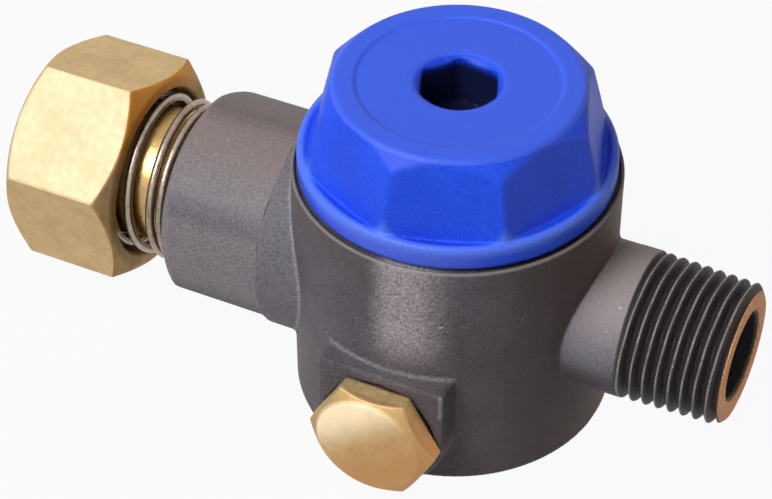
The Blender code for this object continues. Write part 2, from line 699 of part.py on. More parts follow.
# Spring: close end coils and an open middle, from the stub's end to the spring seat.
spring_right = stub_end_x - CLEAR - WIRE_RADIUS
spring_left = slip_right_x + CLEAR + WIRE_RADIUS
closed_turns = STUB_TURNS + SEAT_TURNS
turns = closed_turns + ACTIVE_TURNS
active_pitch = (spring_right - spring_left - closed_turns * END_PITCH) / ACTIVE_TURNS
count = int(round(turns * POINTS_PER_TURN)) + 1
at = np.linspace(0.0, turns, count)
along = np.minimum(at, STUB_TURNS) * END_PITCH
along = along + np.clip(at - STUB_TURNS, 0.0, ACTIVE_TURNS) * active_pitch
along = along + np.maximum(at - STUB_TURNS - ACTIVE_TURNS, 0.0) * END_PITCH
turn_angle = math.radians(SPRING_START_DEG) + 2 * math.pi * at
coil = np.stack(
    [
        spring_right - along,
        -SPRING_RADIUS * np.cos(turn_angle),
        axis_height + SPRING_RADIUS * np.sin(turn_angle),
    ],
    axis=1,
)
fine = np.linspace(0.0, turns, 400)
fine_coil = np.stack([np.interp(fine, at, coil[:, k]) for k in range(3)], axis=1)
apart = np.linalg.norm(fine_coil[:, None, :] - fine_coil[None, :, :], axis=2)
apart[np.abs(fine[:, None] - fine[None, :]) < 0.5] = 1.0
print(f"spring: least gap between coils {(apart.min() - 2 * WIRE_RADIUS) / MM:.2f} mm")
wire = bpy.data.curves.new("spring_wire", "CURVE")
wire.dimensions = "3D"
wire.bevel_depth = WIRE_RADIUS
wire.bevel_resolution = 1
wire.use_fill_caps = True
line = wire.splines.new("POLY")
line.points.add(count - 1)
for point, place in zip(line.points, coil):
    point.co = (*place, 1.0)
guide_line = bpy.data.objects.new("spring_wire", wire)
cutters.objects.link(guide_line)
guide_line.hide_render = True
bpy.context.view_layer.update()
wound = bmesh.new()
wound.from_mesh(guide_line.evaluated_get(bpy.context.evaluated_depsgraph_get()).to_mesh())
add("union_spring", wound, UPRIGHT, False, *STEEL_LOOK)

# Drain plug and its washer.
turned_part("plug_washer", tube(washer_hole, washer_rim, washer_in, washer_out), ALONG_Y, FIBRE_LOOK)
stem = [
    (0, stem_end),
    (PLUG_STEM_RADIUS - CLEAR, stem_end),
    (PLUG_STEM_RADIUS, stem_end + CLEAR),
    (PLUG_STEM_RADIUS, head_in + OVER),
    (0, head_in + OVER),
]
drain_plug = turned_part("drain_plug", stem, ALONG_Y, BRASS_LOOK)
head = prism(6, PLUG_HEAD_FLATS / 2, PLUG_HEAD_FLATS / 2, head_in, head_out + OVER, 0)
plug_head = helper("plug_head", head, ALONG_Y)
head_wide = PLUG_HEAD_FLATS * 0.65
head_fall = (head_wide - PLUG_FACE_RADIUS) * math.tan(math.radians(PLUG_CHAMFER_DEG))
head_hull = [
    (0, head_in - OVER),
    (head_wide, head_in - OVER),
    (head_wide, head_out - PLUG_DOME - head_fall),
    (PLUG_FACE_RADIUS, head_out - PLUG_DOME),
    (PLUG_FACE_RADIUS * 0.6, head_out - PLUG_DOME * 0.36),
    (0, head_out),
]
combine(plug_head, helper("head_hull", revolve(head_hull, SMALL_ROUND), ALONG_Y), "INTERSECT")
combine(drain_plug, plug_head, "UNION")

# Joint axes: the needle's for cap and needle, the pipe's for the union, the plug's own.
for name in ("adjusting_cap", "spindle", "needle_carrier", "needle_tip"):
    set_origin(bpy.data.objects[name], (0, 0, cap_low))
for name in ("union_nut", "slip_washer"):
    set_origin(bpy.data.objects[name], (recess_x, 0, axis_height))
for name in ("drain_plug", "plug_washer"):
    set_origin(bpy.data.objects[name], (0, -head_in, PLUG_Z))
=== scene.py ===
# %% [markdown]
# # Dressing a needle valve
# The imported solids already have the right sizes and joints. This lesson gives them the looks of the
# real valve: a dark casting with soft edges, a moulded blue cap, turned brass and a wire spring.
# We start by loading the solids as a fixed frame, whose boxes give several sizes.

import json
import math

import bmesh
import bpy
import numpy as np
from mathutils import Matrix, Vector


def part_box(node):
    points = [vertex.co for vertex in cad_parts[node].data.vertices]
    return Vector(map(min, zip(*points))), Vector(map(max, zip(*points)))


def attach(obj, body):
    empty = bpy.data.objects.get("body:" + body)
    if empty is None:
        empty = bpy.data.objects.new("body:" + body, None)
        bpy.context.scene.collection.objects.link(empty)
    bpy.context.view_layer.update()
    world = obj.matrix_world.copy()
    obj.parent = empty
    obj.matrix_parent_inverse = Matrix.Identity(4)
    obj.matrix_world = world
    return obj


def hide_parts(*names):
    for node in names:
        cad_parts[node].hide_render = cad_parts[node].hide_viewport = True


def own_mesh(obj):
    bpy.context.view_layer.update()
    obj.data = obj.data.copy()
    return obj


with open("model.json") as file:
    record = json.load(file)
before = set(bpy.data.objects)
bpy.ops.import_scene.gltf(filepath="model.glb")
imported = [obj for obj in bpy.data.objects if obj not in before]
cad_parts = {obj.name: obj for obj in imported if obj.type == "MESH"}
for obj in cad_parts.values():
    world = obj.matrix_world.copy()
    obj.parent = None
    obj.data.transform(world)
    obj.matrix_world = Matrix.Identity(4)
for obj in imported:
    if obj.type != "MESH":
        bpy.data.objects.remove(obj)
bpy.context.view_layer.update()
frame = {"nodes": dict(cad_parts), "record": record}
MM = 0.001

# %% [markdown]
# ## Sizes that several steps share
# Places are in millimetres, in the frame of the solids: X runs along the pipe toward the outlet thread,
# the plug faces -Y and Z is up. What the solids and the joints already say is read from them, so that the
# looks can't drift from the model. Only what they don't say is written here.

# %% Shared sizes
def span(solid, axis):
    """The lowest and highest place of a solid along an axis, in millimetres."""
    return [round(float(corner[axis]) / MM, 2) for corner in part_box(solid)]


joints = frame["record"]["behaviour"]["joints"]
pivots = {joint["name"]: joint["pos_m"] for joint in joints if "pos_m" in joint}
AXIS_Z = round(pivots["nut_swivel"][2] / MM, 2)
PLUG_Z = round(pivots["plug_turn"][2] / MM, 2)
PLUG_SEAT = round(-pivots["plug_turn"][1] / MM, 2)
STUB_END, OUTLET_END = span("valve_body", 0)
BOSS_FACE = -span("valve_body", 1)[0]
BODY_TOP = span("valve_body", 2)[1]
CAP_FOOT, CAP_TOP = span("adjusting_cap", 2)
NUT_MOUTH, NUT_NEAR = span("union_nut", 0)
print("pipe axis at", AXIS_Z, "plug axis at", PLUG_Z, "outlet ends at", OUTLET_END, "cap ends at", CAP_TOP)

# %% Shared sizes that the frame doesn't give
DRUM_RADIUS = 23.0
BOSS_HALF = 9.45
BOSS_TOP = PLUG_Z + 9.75
STUB_STEP = -24.0
STUB_ROUND = 15.85
THREAD_START = 28.4
CREST_RADIUS = 10.65
PIPE_PITCH = 1.814
PIPE_TAPER = 1 / 32
NUT_TURN = 18.4
NUT_EDGE = 14.65
NUT_SLANT = math.radians(34.0)
print("drum radius", DRUM_RADIUS, "boss top", BOSS_TOP, "thread from", THREAD_START)

# %% [markdown]
# ## The viewpoint
# The photograph looks down on the valve from its front right with a long lens. The camera was solved
# from edges whose sizes are known, so its three axes are written here as the columns of a matrix.

# %% Camera
scene = bpy.context.scene
lens = bpy.data.cameras.new("photo_lens")
lens.sensor_fit = "HORIZONTAL"
lens.sensor_width = 36.0
lens.lens = 116.31
lens.shift_x = -0.00332
lens.shift_y = 0.00218
lens.clip_end = 20.0
camera = bpy.data.objects.new("photo_camera", lens)
scene.collection.objects.link(camera)
right = Vector((0.9019758, 0.4317815, -0.0021135))
up = Vector((-0.2873919, 0.6039897, 0.7433723))
back = Vector((0.3222509, -0.6698964, 0.6688745))
stand = Vector((0.105554, -0.241336, 0.259491))
turn = Matrix((right, up, back)).transposed().to_4x4()
camera.matrix_world = Matrix.Translation(stand) @ turn
scene.camera = camera
scene.view_settings.view_transform = "Standard"
print("camera:", [round(v, 3) for v in camera.location], "lens", lens.lens)

# %% [markdown]
# ## Floor, sky and lamps
# The valve stands on white with hardly any shadow. A pale floor that glows partly by itself for the
# camera keeps a faint shadow, and a soft lamp on the upper left gives the bright left faces. A weak lamp
# fills the front, and a small warm one stands in for the brown surroundings that the right side reflects.

# %% Helpers for node trees
def feed(tree, socket, value):
    """A number or a colour is set on the socket, and another node's output is linked to it."""
    if isinstance(value, tuple):
        socket.default_value = (*value, 1)
    elif isinstance(value, (int, float)):
        socket.default_value = value
    else:
        tree.links.new(value, socket)


def node(tree, kind, x, y, sockets=None, **values):
    made = tree.nodes.new(kind)
    made.location = (x, y)
    for name, value in values.items():
        setattr(made, name, value)
    for name, value in (sockets or {}).items():
        feed(tree, made.inputs[name], value)
    return made


def spare_place(tree):
    """Where one more small node goes in the node editor: in rows of ten, left of the main nodes."""
    row, column = divmod(len(tree.nodes), 10)
    return -3400 + 180 * column, 600 - 200 * row


def maths(tree, operation, *values):
    made = node(tree, "ShaderNodeMath", *spare_place(tree), operation=operation)
    for socket, value in zip(made.inputs, values):
        feed(tree, socket, value)
    return made.outputs[0]


def visible_rays(tree):
    """One where the camera, a mirror or glass looks, nought for bounced light."""
    path = node(tree, "ShaderNodeLightPath", -900, 300).outputs
    camera_or_mirror = maths(tree, "MAXIMUM", path["Is Camera Ray"], path["Is Glossy Ray"])
    return maths(tree, "MAXIMUM", camera_or_mirror, path["Is Transmission Ray"])


# %% Sky
SKY_LIGHT = 0.12
world = bpy.data.worlds.new("studio")
world.use_nodes = True
scene.world = world
sky = world.node_tree
sky.nodes.clear()
dim = node(sky, "ShaderNodeBackground", -300, 100, {"Color": (0.95, 0.97, 1.0), "Strength": SKY_LIGHT})
white = node(sky, "ShaderNodeBackground", -300, -100, {"Color": (1, 1, 1), "Strength": 1.0})
pick = node(sky, "ShaderNodeMixShader", 0, 0, {0: visible_rays(sky), 1: dim.outputs[0], 2: white.outputs[0]})
node(sky, "ShaderNodeOutputWorld", 200, 0, {0: pick.outputs[0]})
print("sky:", world.name, "lights with", SKY_LIGHT)

# %% Floor
GLOW_SHARE = 0.94
floor_mesh = bpy.data.meshes.new("floor")
reach = 3.0
drop = -0.0002
corners = [(-reach, -reach, drop), (reach, -reach, drop), (reach, reach, drop), (-reach, reach, drop)]
floor_mesh.from_pydata(corners, [], [(0, 1, 2, 3)])
floor = bpy.data.objects.new("floor", floor_mesh)
scene.collection.objects.link(floor)
floor_paint = bpy.data.materials.new("white_floor")
floor_paint.use_nodes = True
tree = floor_paint.node_tree
tree.nodes.clear()
matt = node(tree, "ShaderNodeBsdfDiffuse", -300, 100, {"Color": (0.35, 0.35, 0.35)})
glow = node(tree, "ShaderNodeEmission", -300, -100, {"Color": (1, 1, 1)})
share = maths(tree, "MULTIPLY", visible_rays(tree), GLOW_SHARE)
pick = node(tree, "ShaderNodeMixShader", 0, 0, {0: share, 1: matt.outputs[0], 2: glow.outputs[0]})
node(tree, "ShaderNodeOutputMaterial", 200, 0, {0: pick.outputs[0]})
floor_mesh.materials.append(floor_paint)
print("floor:", floor.name, "glows by", GLOW_SHARE)

# %% Lamps
def soft_lamp(name, place, target, size, watts, colour=(1, 1, 1)):
    data = bpy.data.lights.new(name, "AREA")
    data.shape = "DISK"
    data.size = size
    data.energy = watts
    data.color = colour
    lamp = bpy.data.objects.new(name, data)
    scene.collection.objects.link(lamp)
    lamp.location = place
    aim = Vector(target) - Vector(place)
    lamp.rotation_euler = aim.to_track_quat("-Z", "Y").to_euler()


soft_lamp("key_lamp", (-0.31, -0.56, 0.74), (0, 0, 0.03), size=0.6, watts=8.8)
soft_lamp("front_lamp", (0.25, -0.9, 0.3), (0, 0, 0.03), size=0.5, watts=0.45)
soft_lamp("warm_lamp", (0.8, 0.15, 0.12), (0.04, 0, 0.02), size=0.3, watts=0.9, colour=(1.0, 0.6, 0.35))

# %% [markdown]
# ## Finishes
# Cast iron, moulded plastic and brass all vary a little over their surface. Two node groups are shared:
# one makes grain and blotches, the other fine scratches. Each material uses them with its own values.

# %% Node group: grain
def new_group(name, inputs, outputs):
    """An empty group with number sockets, and the sockets to read from and to feed inside it."""
    group = bpy.data.node_groups.new(name, "ShaderNodeTree")
    for label, value in inputs:
        socket = group.interface.new_socket(label, in_out="INPUT", socket_type="NodeSocketFloat")
        socket.default_value = value
    for label in outputs:
        group.interface.new_socket(label, in_out="OUTPUT", socket_type="NodeSocketFloat")
    given = node(group, "NodeGroupInput", -1200, 0).outputs
    wanted = node(group, "NodeGroupOutput", 600, 0).inputs
    return group, given, wanted


def noise(tree, scale, detail, coords, rough=0.5):
    sockets = {"Scale": scale, "Detail": detail, "Roughness": rough, "Vector": coords}
    return node(tree, "ShaderNodeTexNoise", *spare_place(tree), sockets).outputs[0]


def ramp(tree, value, low, high, kind="LINEAR"):
    """Nought below low, one above high."""
    sockets = {"Value": value, "From Min": low, "From Max": high}
    made = node(tree, "ShaderNodeMapRange", *spare_place(tree), sockets, interpolation_type=kind)
    return made.outputs["Result"]


def surface_grain():
    """Fine grain and broad blotches, both at sizes given in features per metre."""
    group, given, wanted = new_group(
        "surface_grain", [("Grain size", 1500.0), ("Blotch size", 90.0)], ["Grain", "Blotches"]
    )
    coords = node(group, "ShaderNodeTexCoord", -1200, 300).outputs["Object"]
    fine = noise(group, given["Grain size"], 3.0, coords, 0.6)
    broad = noise(group, given["Blotch size"], 4.0, coords, 0.55)
    group.links.new(ramp(group, fine, 0.36, 0.64), wanted["Grain"])
    group.links.new(ramp(group, broad, 0.35, 0.65), wanted["Blotches"])
    return group


grain_group = surface_grain()
print("group:", grain_group.name)

# %% Node group: scratches
def fine_scratches():
    """Thin broken lines: the narrow middle band of a stretched noise, kept only in patches."""
    group, given, wanted = new_group("fine_scratches", [("Width", 0.006), ("Patch", 0.6)], ["Scratches"])
    coords = node(group, "ShaderNodeTexCoord", -1400, 300).outputs["Object"]
    turned = node(group, "ShaderNodeMapping", -1200, 300, {"Vector": coords})
    turned.inputs["Rotation"].default_value = (0.4, 0.7, 0.9)
    turned.inputs["Scale"].default_value = (1.0, 0.1, 0.5)
    lines = noise(group, 420.0, 0.0, turned.outputs[0])
    off_middle = maths(group, "ABSOLUTE", maths(group, "SUBTRACT", lines, 0.5))
    thin = maths(group, "LESS_THAN", off_middle, given["Width"])
    patches = maths(group, "GREATER_THAN", noise(group, 240.0, 2.0, coords), given["Patch"])
    group.links.new(maths(group, "MULTIPLY", thin, patches), wanted["Scratches"])
    return group


scratch_group = fine_scratches()
print("group:", scratch_group.name)

# %% [markdown]
# A finish is a Principled shader with a colour that moves between two tones, a roughness that moves
# between two values, and a bump. Numbers that stay the same all over are set on the shader itself.

# %% A finish from the groups
BUMP_DEPTH = 0.00008


def mix_colour(tree, share, before, after):
    sockets = {"Factor": share, "A": before, "B": after}
    return node(tree, "ShaderNodeMix", *spare_place(tree), sockets, data_type="RGBA").outputs["Result"]


def finish_of(name, dark, light, metallic, rough, grain, blotch, bump, scratch):
    """Rough is the lowest and highest roughness, and scratch an amount, a colour and a patch threshold."""
    material = bpy.data.materials.new(name)
    material.use_nodes = True
    tree = material.node_tree
    shader = tree.nodes["Principled BSDF"]
    amount, scratch_colour, patch = scratch
    sizes = {"Grain size": grain, "Blotch size": blotch}
    marks = node(tree, "ShaderNodeGroup", -900, 200, sizes, node_tree=grain_group).outputs
    lines = node(tree, "ShaderNodeGroup", -900, -200, {"Patch": patch}, node_tree=scratch_group).outputs
    half_blotches = maths(tree, "MULTIPLY", marks["Blotches"], 0.5)
    spread = maths(tree, "MULTIPLY_ADD", marks["Grain"], 0.5, half_blotches)
    worn = maths(tree, "MULTIPLY", lines["Scratches"], amount)
    gloss = {"Value": spread, "To Min": rough[0], "To Max": rough[1]}
    relief = {"Strength": bump, "Distance": BUMP_DEPTH, "Height": marks["Grain"]}
    surface = {
        "Base Color": mix_colour(tree, worn, mix_colour(tree, spread, dark, light), scratch_colour),
        "Metallic": metallic,
        "Roughness": node(tree, "ShaderNodeMapRange", -250, 0, gloss).outputs["Result"],
        "Normal": node(tree, "ShaderNodeBump", -250, -250, relief).outputs["Normal"],
    }
    for label, value in surface.items():
        feed(tree, shader.inputs[label], value)
    return material


# %% Casting, moulding and brass
iron = finish_of("dark_casting", dark=(0.046, 0.040, 0.048), light=(0.162, 0.144, 0.170), metallic=0.0,
                 rough=(0.48, 0.62), grain=2600, blotch=75, bump=0.7,
                 scratch=(0.35, (0.34, 0.31, 0.30), 0.64))
blue = finish_of("blue_moulding", dark=(0.005, 0.050, 0.65), light=(0.018, 0.098, 0.95), metallic=0.0,
                 rough=(0.40, 0.52), grain=2600, blotch=60, bump=0.35,
                 scratch=(0.10, (0.20, 0.28, 0.9), 0.66))
milled_brass = finish_of("milled_brass", dark=(0.48, 0.335, 0.165), light=(0.61, 0.45, 0.235), metallic=1.0,
                         rough=(0.56, 0.68), grain=900, blotch=140, bump=0.25,
                         scratch=(0.25, (0.30, 0.19, 0.07), 0.64))
brass = finish_of("turned_brass", dark=(0.46, 0.30, 0.11), light=(0.64, 0.45, 0.19), metallic=1.0,
                  rough=(0.27, 0.40), grain=1000, blotch=120, bump=0.2,
                  scratch=(0.3, (0.25, 0.15, 0.06), 0.62))
for satin, level in ((iron, 0.2), (blue, 0.3)):
    satin.node_tree.nodes["Principled BSDF"].inputs["Specular IOR Level"].default_value = level
print("finishes:", iron.name, blue.name, milled_brass.name, brass.name)

# %% Steel, rubber, fibre and bearing plastic
steel = finish_of("drawn_steel", dark=(0.23, 0.178, 0.135), light=(0.43, 0.355, 0.28), metallic=1.0,
                  rough=(0.24, 0.36), grain=1200, blotch=160, bump=0.15,
                  scratch=(0.3, (0.12, 0.10, 0.08), 0.55))
rubber = finish_of("black_rubber", dark=(0.012, 0.012, 0.012), light=(0.022, 0.022, 0.022), metallic=0.0,
                   rough=(0.55, 0.7), grain=1500, blotch=120, bump=0.3,
                   scratch=(0.1, (0.05, 0.05, 0.05), 0.6))
fibre = finish_of("red_fibre", dark=(0.045, 0.020, 0.016), light=(0.080, 0.033, 0.025), metallic=0.0,
                  rough=(0.65, 0.8), grain=1200, blotch=200, bump=0.5,
                  scratch=(0.2, (0.25, 0.1, 0.07), 0.6))
bearing = finish_of("pale_bearing", dark=(0.66, 0.65, 0.61), light=(0.76, 0.75, 0.71), metallic=0.0,
                    rough=(0.4, 0.55), grain=1200, blotch=120, bump=0.2,
                    scratch=(0.1, (0.5, 0.5, 0.46), 0.6))
print("finishes:", steel.name, rubber.name, fibre.name, bearing.name)

# %% [markdown]
# Some tones belong to a place. Many of them are painted light and shade: a painted reflection on a band of
# the drum's front, painted shade and painted brown reflections on its right side, painted highlights on the
# thread crests, a painted highlight on one nut flat, painted reflections and some tarnish on the nut's end,
# and painted shade in the socket, creases and grooves. The rim is lighter. A mask made from the piece's own
# coordinates mixes such a tone over the base colour. Each mask fades between two places, and angles are in
# radians.

# %% Tones tied to a place
def place_axes(tree):
    """The piece's own coordinates as they are, then x, y and z in millimetres."""
    coords = node(tree, "ShaderNodeTexCoord", *spare_place(tree)).outputs["Object"]
    scaling = {0: coords, "Scale": 1 / MM}
    larger = node(tree, "ShaderNodeVectorMath", *spare_place(tree), scaling, operation="SCALE")
    split = node(tree, "ShaderNodeSeparateXYZ", *spare_place(tree), {0: larger.outputs[0]})
    return (coords, *split.outputs)


def tone_by_place(material, mask, colour, strength):
    """Lays one more tone over the base colour, where the mask is."""
    tree = material.node_tree
    base = tree.nodes["Principled BSDF"].inputs["Base Color"]
    share = maths(tree, "MULTIPLY", mask, strength)
    tree.links.new(mix_colour(tree, share, base.links[0].from_socket, colour), base)


def distance(tree, a, b):
    return maths(tree, "SQRT", maths(tree, "ADD", maths(tree, "POWER", a, 2.0), maths(tree, "POWER", b, 2.0)))


# %% Masks
def rising(tree, value, start, stop):
    """Nought before start, one after stop, smooth between."""
    return ramp(tree, value, start, stop, "SMOOTHSTEP")


def falling(tree, value, start, stop):
    """One before start, nought after stop, smooth between."""
    return maths(tree, "SUBTRACT", 1.0, rising(tree, value, start, stop))


def all_of(tree, *masks):
    """One only where every mask is one."""
    product = masks[0]
    for mask in masks[1:]:
        product = maths(tree, "MULTIPLY", product, mask)
    return product


def within(tree, value, edges, about=0.0):
    """One between the two middle edges, nought past the outer two, all measured from about."""
    start, full, last, stop = (about + edge for edge in edges)
    return all_of(tree, rising(tree, value, start, full), falling(tree, value, last, stop))


# %% Painted shade, painted reflections and random tones of the casting
tree = iron.node_tree
coords, x, y, z = place_axes(tree)
round_axis = maths(tree, "ARCTAN2", y, x)
from_axis = distance(tree, x, y)
on_drum = falling(tree, from_axis, DRUM_RADIUS + 0.1, DRUM_RADIUS + 0.3)
bloom = ramp(tree, noise(tree, 48.0, 3.0, coords), 0.47, 0.68)
tone_by_place(iron, bloom, (0.095, 0.072, 0.066), 0.5)
# Painted shade: the right side of the drum darker, away from the lamp.
shaded = all_of(tree, on_drum, within(tree, round_axis, (-1.2, -0.5, 0.4, 1.2)))
tone_by_place(iron, shaded, (0.050, 0.032, 0.030), 0.72)
# Painted reflections of brown surroundings on the right side: brown, then orange on the drum.
painted_brown_reflection = within(tree, round_axis, (-0.3, 0.35, 0.9, 2.0))
tone_by_place(iron, painted_brown_reflection, (0.16, 0.095, 0.050), 0.5)
painted_warm_reflection = all_of(tree, on_drum, within(tree, round_axis, (0.15, 0.42, 0.6, 1.1)))
tone_by_place(iron, painted_warm_reflection, (0.40, 0.20, 0.085), 0.5)
speckled = ramp(tree, noise(tree, 2600.0, 3.0, coords), 0.1, 0.72)
# Painted reflection: a grainy light band on the drum's front above the boss, where the floor would show in
# it.
painted_reflection_strip = all_of(tree, within(tree, round_axis, (-1.72, -1.52, -1.45, -1.10)), rising(tree, z, 19.5, 27.0))
tone_by_place(iron, all_of(tree, painted_reflection_strip, speckled), (0.56, 0.49, 0.505), 0.9)
print("casting tones: bloom, shaded side, browned, rusted, bright_front strip")

# %% Outlet neck: painted light above, painted shade below
outlet_side = within(tree, x, (10.0, 20.0, THREAD_START, THREAD_START + 0.2))
neck = all_of(tree, rising(tree, from_axis, DRUM_RADIUS + 0.1, DRUM_RADIUS + 0.4), outlet_side)
# Painted light on the upper side and top of the neck, painted shade on its underside.
neck_upper = all_of(tree, neck, rising(tree, z, 16.5, 22.0), speckled)
tone_by_place(iron, neck_upper, (0.23, 0.215, 0.26), 0.95)
tone_by_place(iron, all_of(tree, neck, rising(tree, z, 20.0, 29.0)), (0.44, 0.37, 0.35), 0.6)
tone_by_place(iron, all_of(tree, neck, falling(tree, z, 15.0, 20.2)), (0.036, 0.027, 0.029), 0.8)
print("neck tones: upper side, top, underside")

# %% Painted highlights and shade round the boss
at_front = falling(tree, y, -19.5, -19.0)
boss_width = falling(tree, maths(tree, "ABSOLUTE", x), BOSS_HALF - 0.05, BOSS_HALF + 0.45)
shelf = within(tree, z, (-0.35, -0.05, 0.25, 0.55), BOSS_TOP)
by_drum = falling(tree, from_axis, DRUM_RADIUS + 0.2, DRUM_RADIUS + 0.6)
# Painted highlight: a light line where the drum meets the top of the boss.
drum_meets_boss = all_of(tree, shelf, by_drum, boss_width, at_front)
tone_by_place(iron, all_of(tree, drum_meets_boss, speckled), (0.28, 0.255, 0.25), 0.62)
# Painted shade: a dark line along the right flank of the boss.
off_drum = rising(tree, from_axis, DRUM_RADIUS, DRUM_RADIUS + 0.2)
boss_flank = all_of(tree, within(tree, x, (-0.15, -0.05, 0.35, 0.75), BOSS_HALF), at_front, off_drum)
boss_height = within(tree, z, (8.5, 11.5, BOSS_TOP - 0.65, BOSS_TOP - 0.15))
tone_by_place(iron, all_of(tree, boss_flank, boss_height), (0.014, 0.011, 0.011), 0.7)
# Painted glint on the right corner edge of the boss.
boss_corner = all_of(tree, within(tree, x, (-0.85, -0.45, -0.15, 0.05), BOSS_HALF), at_front)
at_face = falling(tree, y, 0.3 - BOSS_FACE, 0.5 - BOSS_FACE)
painted_corner_glint = all_of(tree, boss_corner, at_face, rising(tree, z, 15.0, 16.0), speckled)
tone_by_place(iron, painted_corner_glint, (0.42, 0.385, 0.375), 0.6)
print("boss tones: upper crease, side crease, chipped corner")

# %% Stub: milled flats, painted light and painted shade
from_pipe = distance(tree, y, maths(tree, "SUBTRACT", z, AXIS_Z))
milled = falling(tree, from_pipe, STUB_ROUND - 0.65, STUB_ROUND - 0.05)
stub_side = all_of(tree, off_drum, falling(tree, x, -12.0, -10.0))
tone_by_place(iron, all_of(tree, stub_side, speckled), (0.22, 0.205, 0.235), 0.8)
# Painted highlight: a lighter band on the fillet where the stub meets the drum.
crease = all_of(tree, stub_side, falling(tree, from_axis, DRUM_RADIUS + 0.3, DRUM_RADIUS + 0.6))
tone_by_place(iron, all_of(tree, crease, speckled), (0.40, 0.385, 0.41), 0.6)
on_stub = falling(tree, x, STUB_STEP, STUB_STEP + 0.1)
# The milled flats lighter: partly their own finish, partly painted reflection, as the round corners between
# them reflect dark.
tone_by_place(iron, all_of(tree, on_stub, milled, speckled), (0.31, 0.275, 0.275), 0.75)
# Painted shade under the stub, painted warm light on its top.
tone_by_place(iron, all_of(tree, on_stub, falling(tree, z, 8.0, 14.0)), (0.10, 0.09, 0.115), 0.4)
tone_by_place(iron, all_of(tree, on_stub, rising(tree, z, 31.0, 34.0)), (0.27, 0.17, 0.125), 0.4)
# Painted shadow: a thin dark line at the step where the round neck stands proud of the flats.
painted_step_shadow = all_of(tree, within(tree, x, (-0.4, -0.1, 0.1, 0.2), STUB_STEP), milled)
tone_by_place(iron, painted_step_shadow, (0.015, 0.013, 0.015), 0.85)
print("stub tones: flats, step line, crease")

# %% Rim, thread and end face
tone_by_place(iron, rising(tree, z, BODY_TOP - 0.45, BODY_TOP - 0.1), (0.34, 0.31, 0.28), 0.55)
past_start = maths(tree, "SUBTRACT", x, THREAD_START)
tapered = maths(tree, "ADD", from_pipe, maths(tree, "MULTIPLY", past_start, PIPE_TAPER))
threaded = rising(tree, x, THREAD_START + 0.1, THREAD_START + 0.3)
# Painted shade in the thread's grooves.
groove = all_of(tree, threaded, falling(tree, tapered, CREST_RADIUS - 0.55, CREST_RADIUS - 0.05))
tone_by_place(iron, all_of(tree, threaded, speckled), (0.045, 0.032, 0.028), 1.1)
tone_by_place(iron, groove, (0.020, 0.017, 0.018), 0.85)
# Painted highlight on the thread's crests.
crest = all_of(tree, threaded, rising(tree, tapered, CREST_RADIUS - 0.15, CREST_RADIUS - 0.03))
tone_by_place(iron, all_of(tree, crest, speckled), (0.40, 0.375, 0.37), 0.95)
# Painted warm light on the outlet's end face, as if lit from brown surroundings.
end_face = rising(tree, x, OUTLET_END - 0.25, OUTLET_END - 0.1)
tone_by_place(iron, all_of(tree, end_face, speckled), (0.92, 0.45, 0.19), 1.35)
dust = rising(tree, noise(tree, 1000.0, 1.0, coords), 0.785, 0.82)
tone_by_place(iron, dust, (0.62, 0.59, 0.57), 0.7)
print("thread tones: rim, grooves, crests, end face, dust")

# %% Cap: painted light on the top and bead, painted shade in the socket
tree = blue.node_tree
coords, x, y, z = place_axes(tree)
from_axis = distance(tree, x, y)
round_axis = maths(tree, "ARCTAN2", y, x)
# Painted light: the top face paler.
tone_by_place(blue, rising(tree, z, CAP_TOP - 0.6, CAP_TOP - 0.4), (0.07, 0.16, 0.92), 0.65)
# Painted highlight along the bead's crest, and on the bead's side at the front.
bead = all_of(tree, rising(tree, from_axis, 20.7, 21.4), rising(tree, z, 40.5, 42.0))
tone_by_place(blue, bead, (0.12, 0.25, 0.95), 0.65)
front = within(tree, round_axis, (-2.3, -1.7, -1.3, -0.8))
bead_side = all_of(tree, front, rising(tree, from_axis, 21.5, 21.9), falling(tree, z, 41.6, 42.2))
tone_by_place(blue, bead_side, (0.13, 0.19, 0.80), 0.5)
dust = rising(tree, noise(tree, 900.0, 1.0, coords), 0.80, 0.83)
tone_by_place(blue, dust, (0.45, 0.55, 0.95), 0.6)
# Painted shade deep in the socket.
painted_socket_shade = all_of(tree, falling(tree, from_axis, 6.0, 6.6), falling(tree, z, 51.1, 53.0))
tone_by_place(blue, painted_socket_shade, (0.004, 0.005, 0.02), 0.97)
print("cap tones: top, bead, dust, socket")

# %% Brass of the nut: a painted highlight on one flat, painted reflections and tarnish on the end
tree = milled_brass.node_tree
coords, x, y, z = place_axes(tree)
over_axis = maths(tree, "SUBTRACT", z, AXIS_Z)
outward = maths(tree, "MULTIPLY", distance(tree, y, over_axis), math.sin(NUT_SLANT))
cone = maths(tree, "ADD", outward, maths(tree, "MULTIPLY", x, math.cos(NUT_SLANT)))
cone_edge = NUT_EDGE * math.sin(NUT_SLANT) + NUT_NEAR * math.cos(NUT_SLANT)
on_cone = rising(tree, cone, cone_edge - 0.16, cone_edge - 0.06)
on_end = maths(tree, "MAXIMUM", on_cone, rising(tree, x, NUT_NEAR - 0.3, NUT_NEAR - 0.1))
on_nut = falling(tree, x, -30.0, -29.0)
nut_end = all_of(tree, on_end, on_nut)
around = maths(tree, "ARCTAN2", over_axis, maths(tree, "MULTIPLY", y, -1.0))
# Painted highlight: one flat paler, where the lamp shows in it.
flat_low, flat_high = (math.radians(NUT_TURN + angle) for angle in (0, 60))
one_flat = within(tree, around, (flat_low - 0.01, flat_low + 0.01, flat_high - 0.01, flat_high + 0.01))
tone_by_place(milled_brass, all_of(tree, one_flat, on_nut), (0.43, 0.375, 0.26), 0.65)
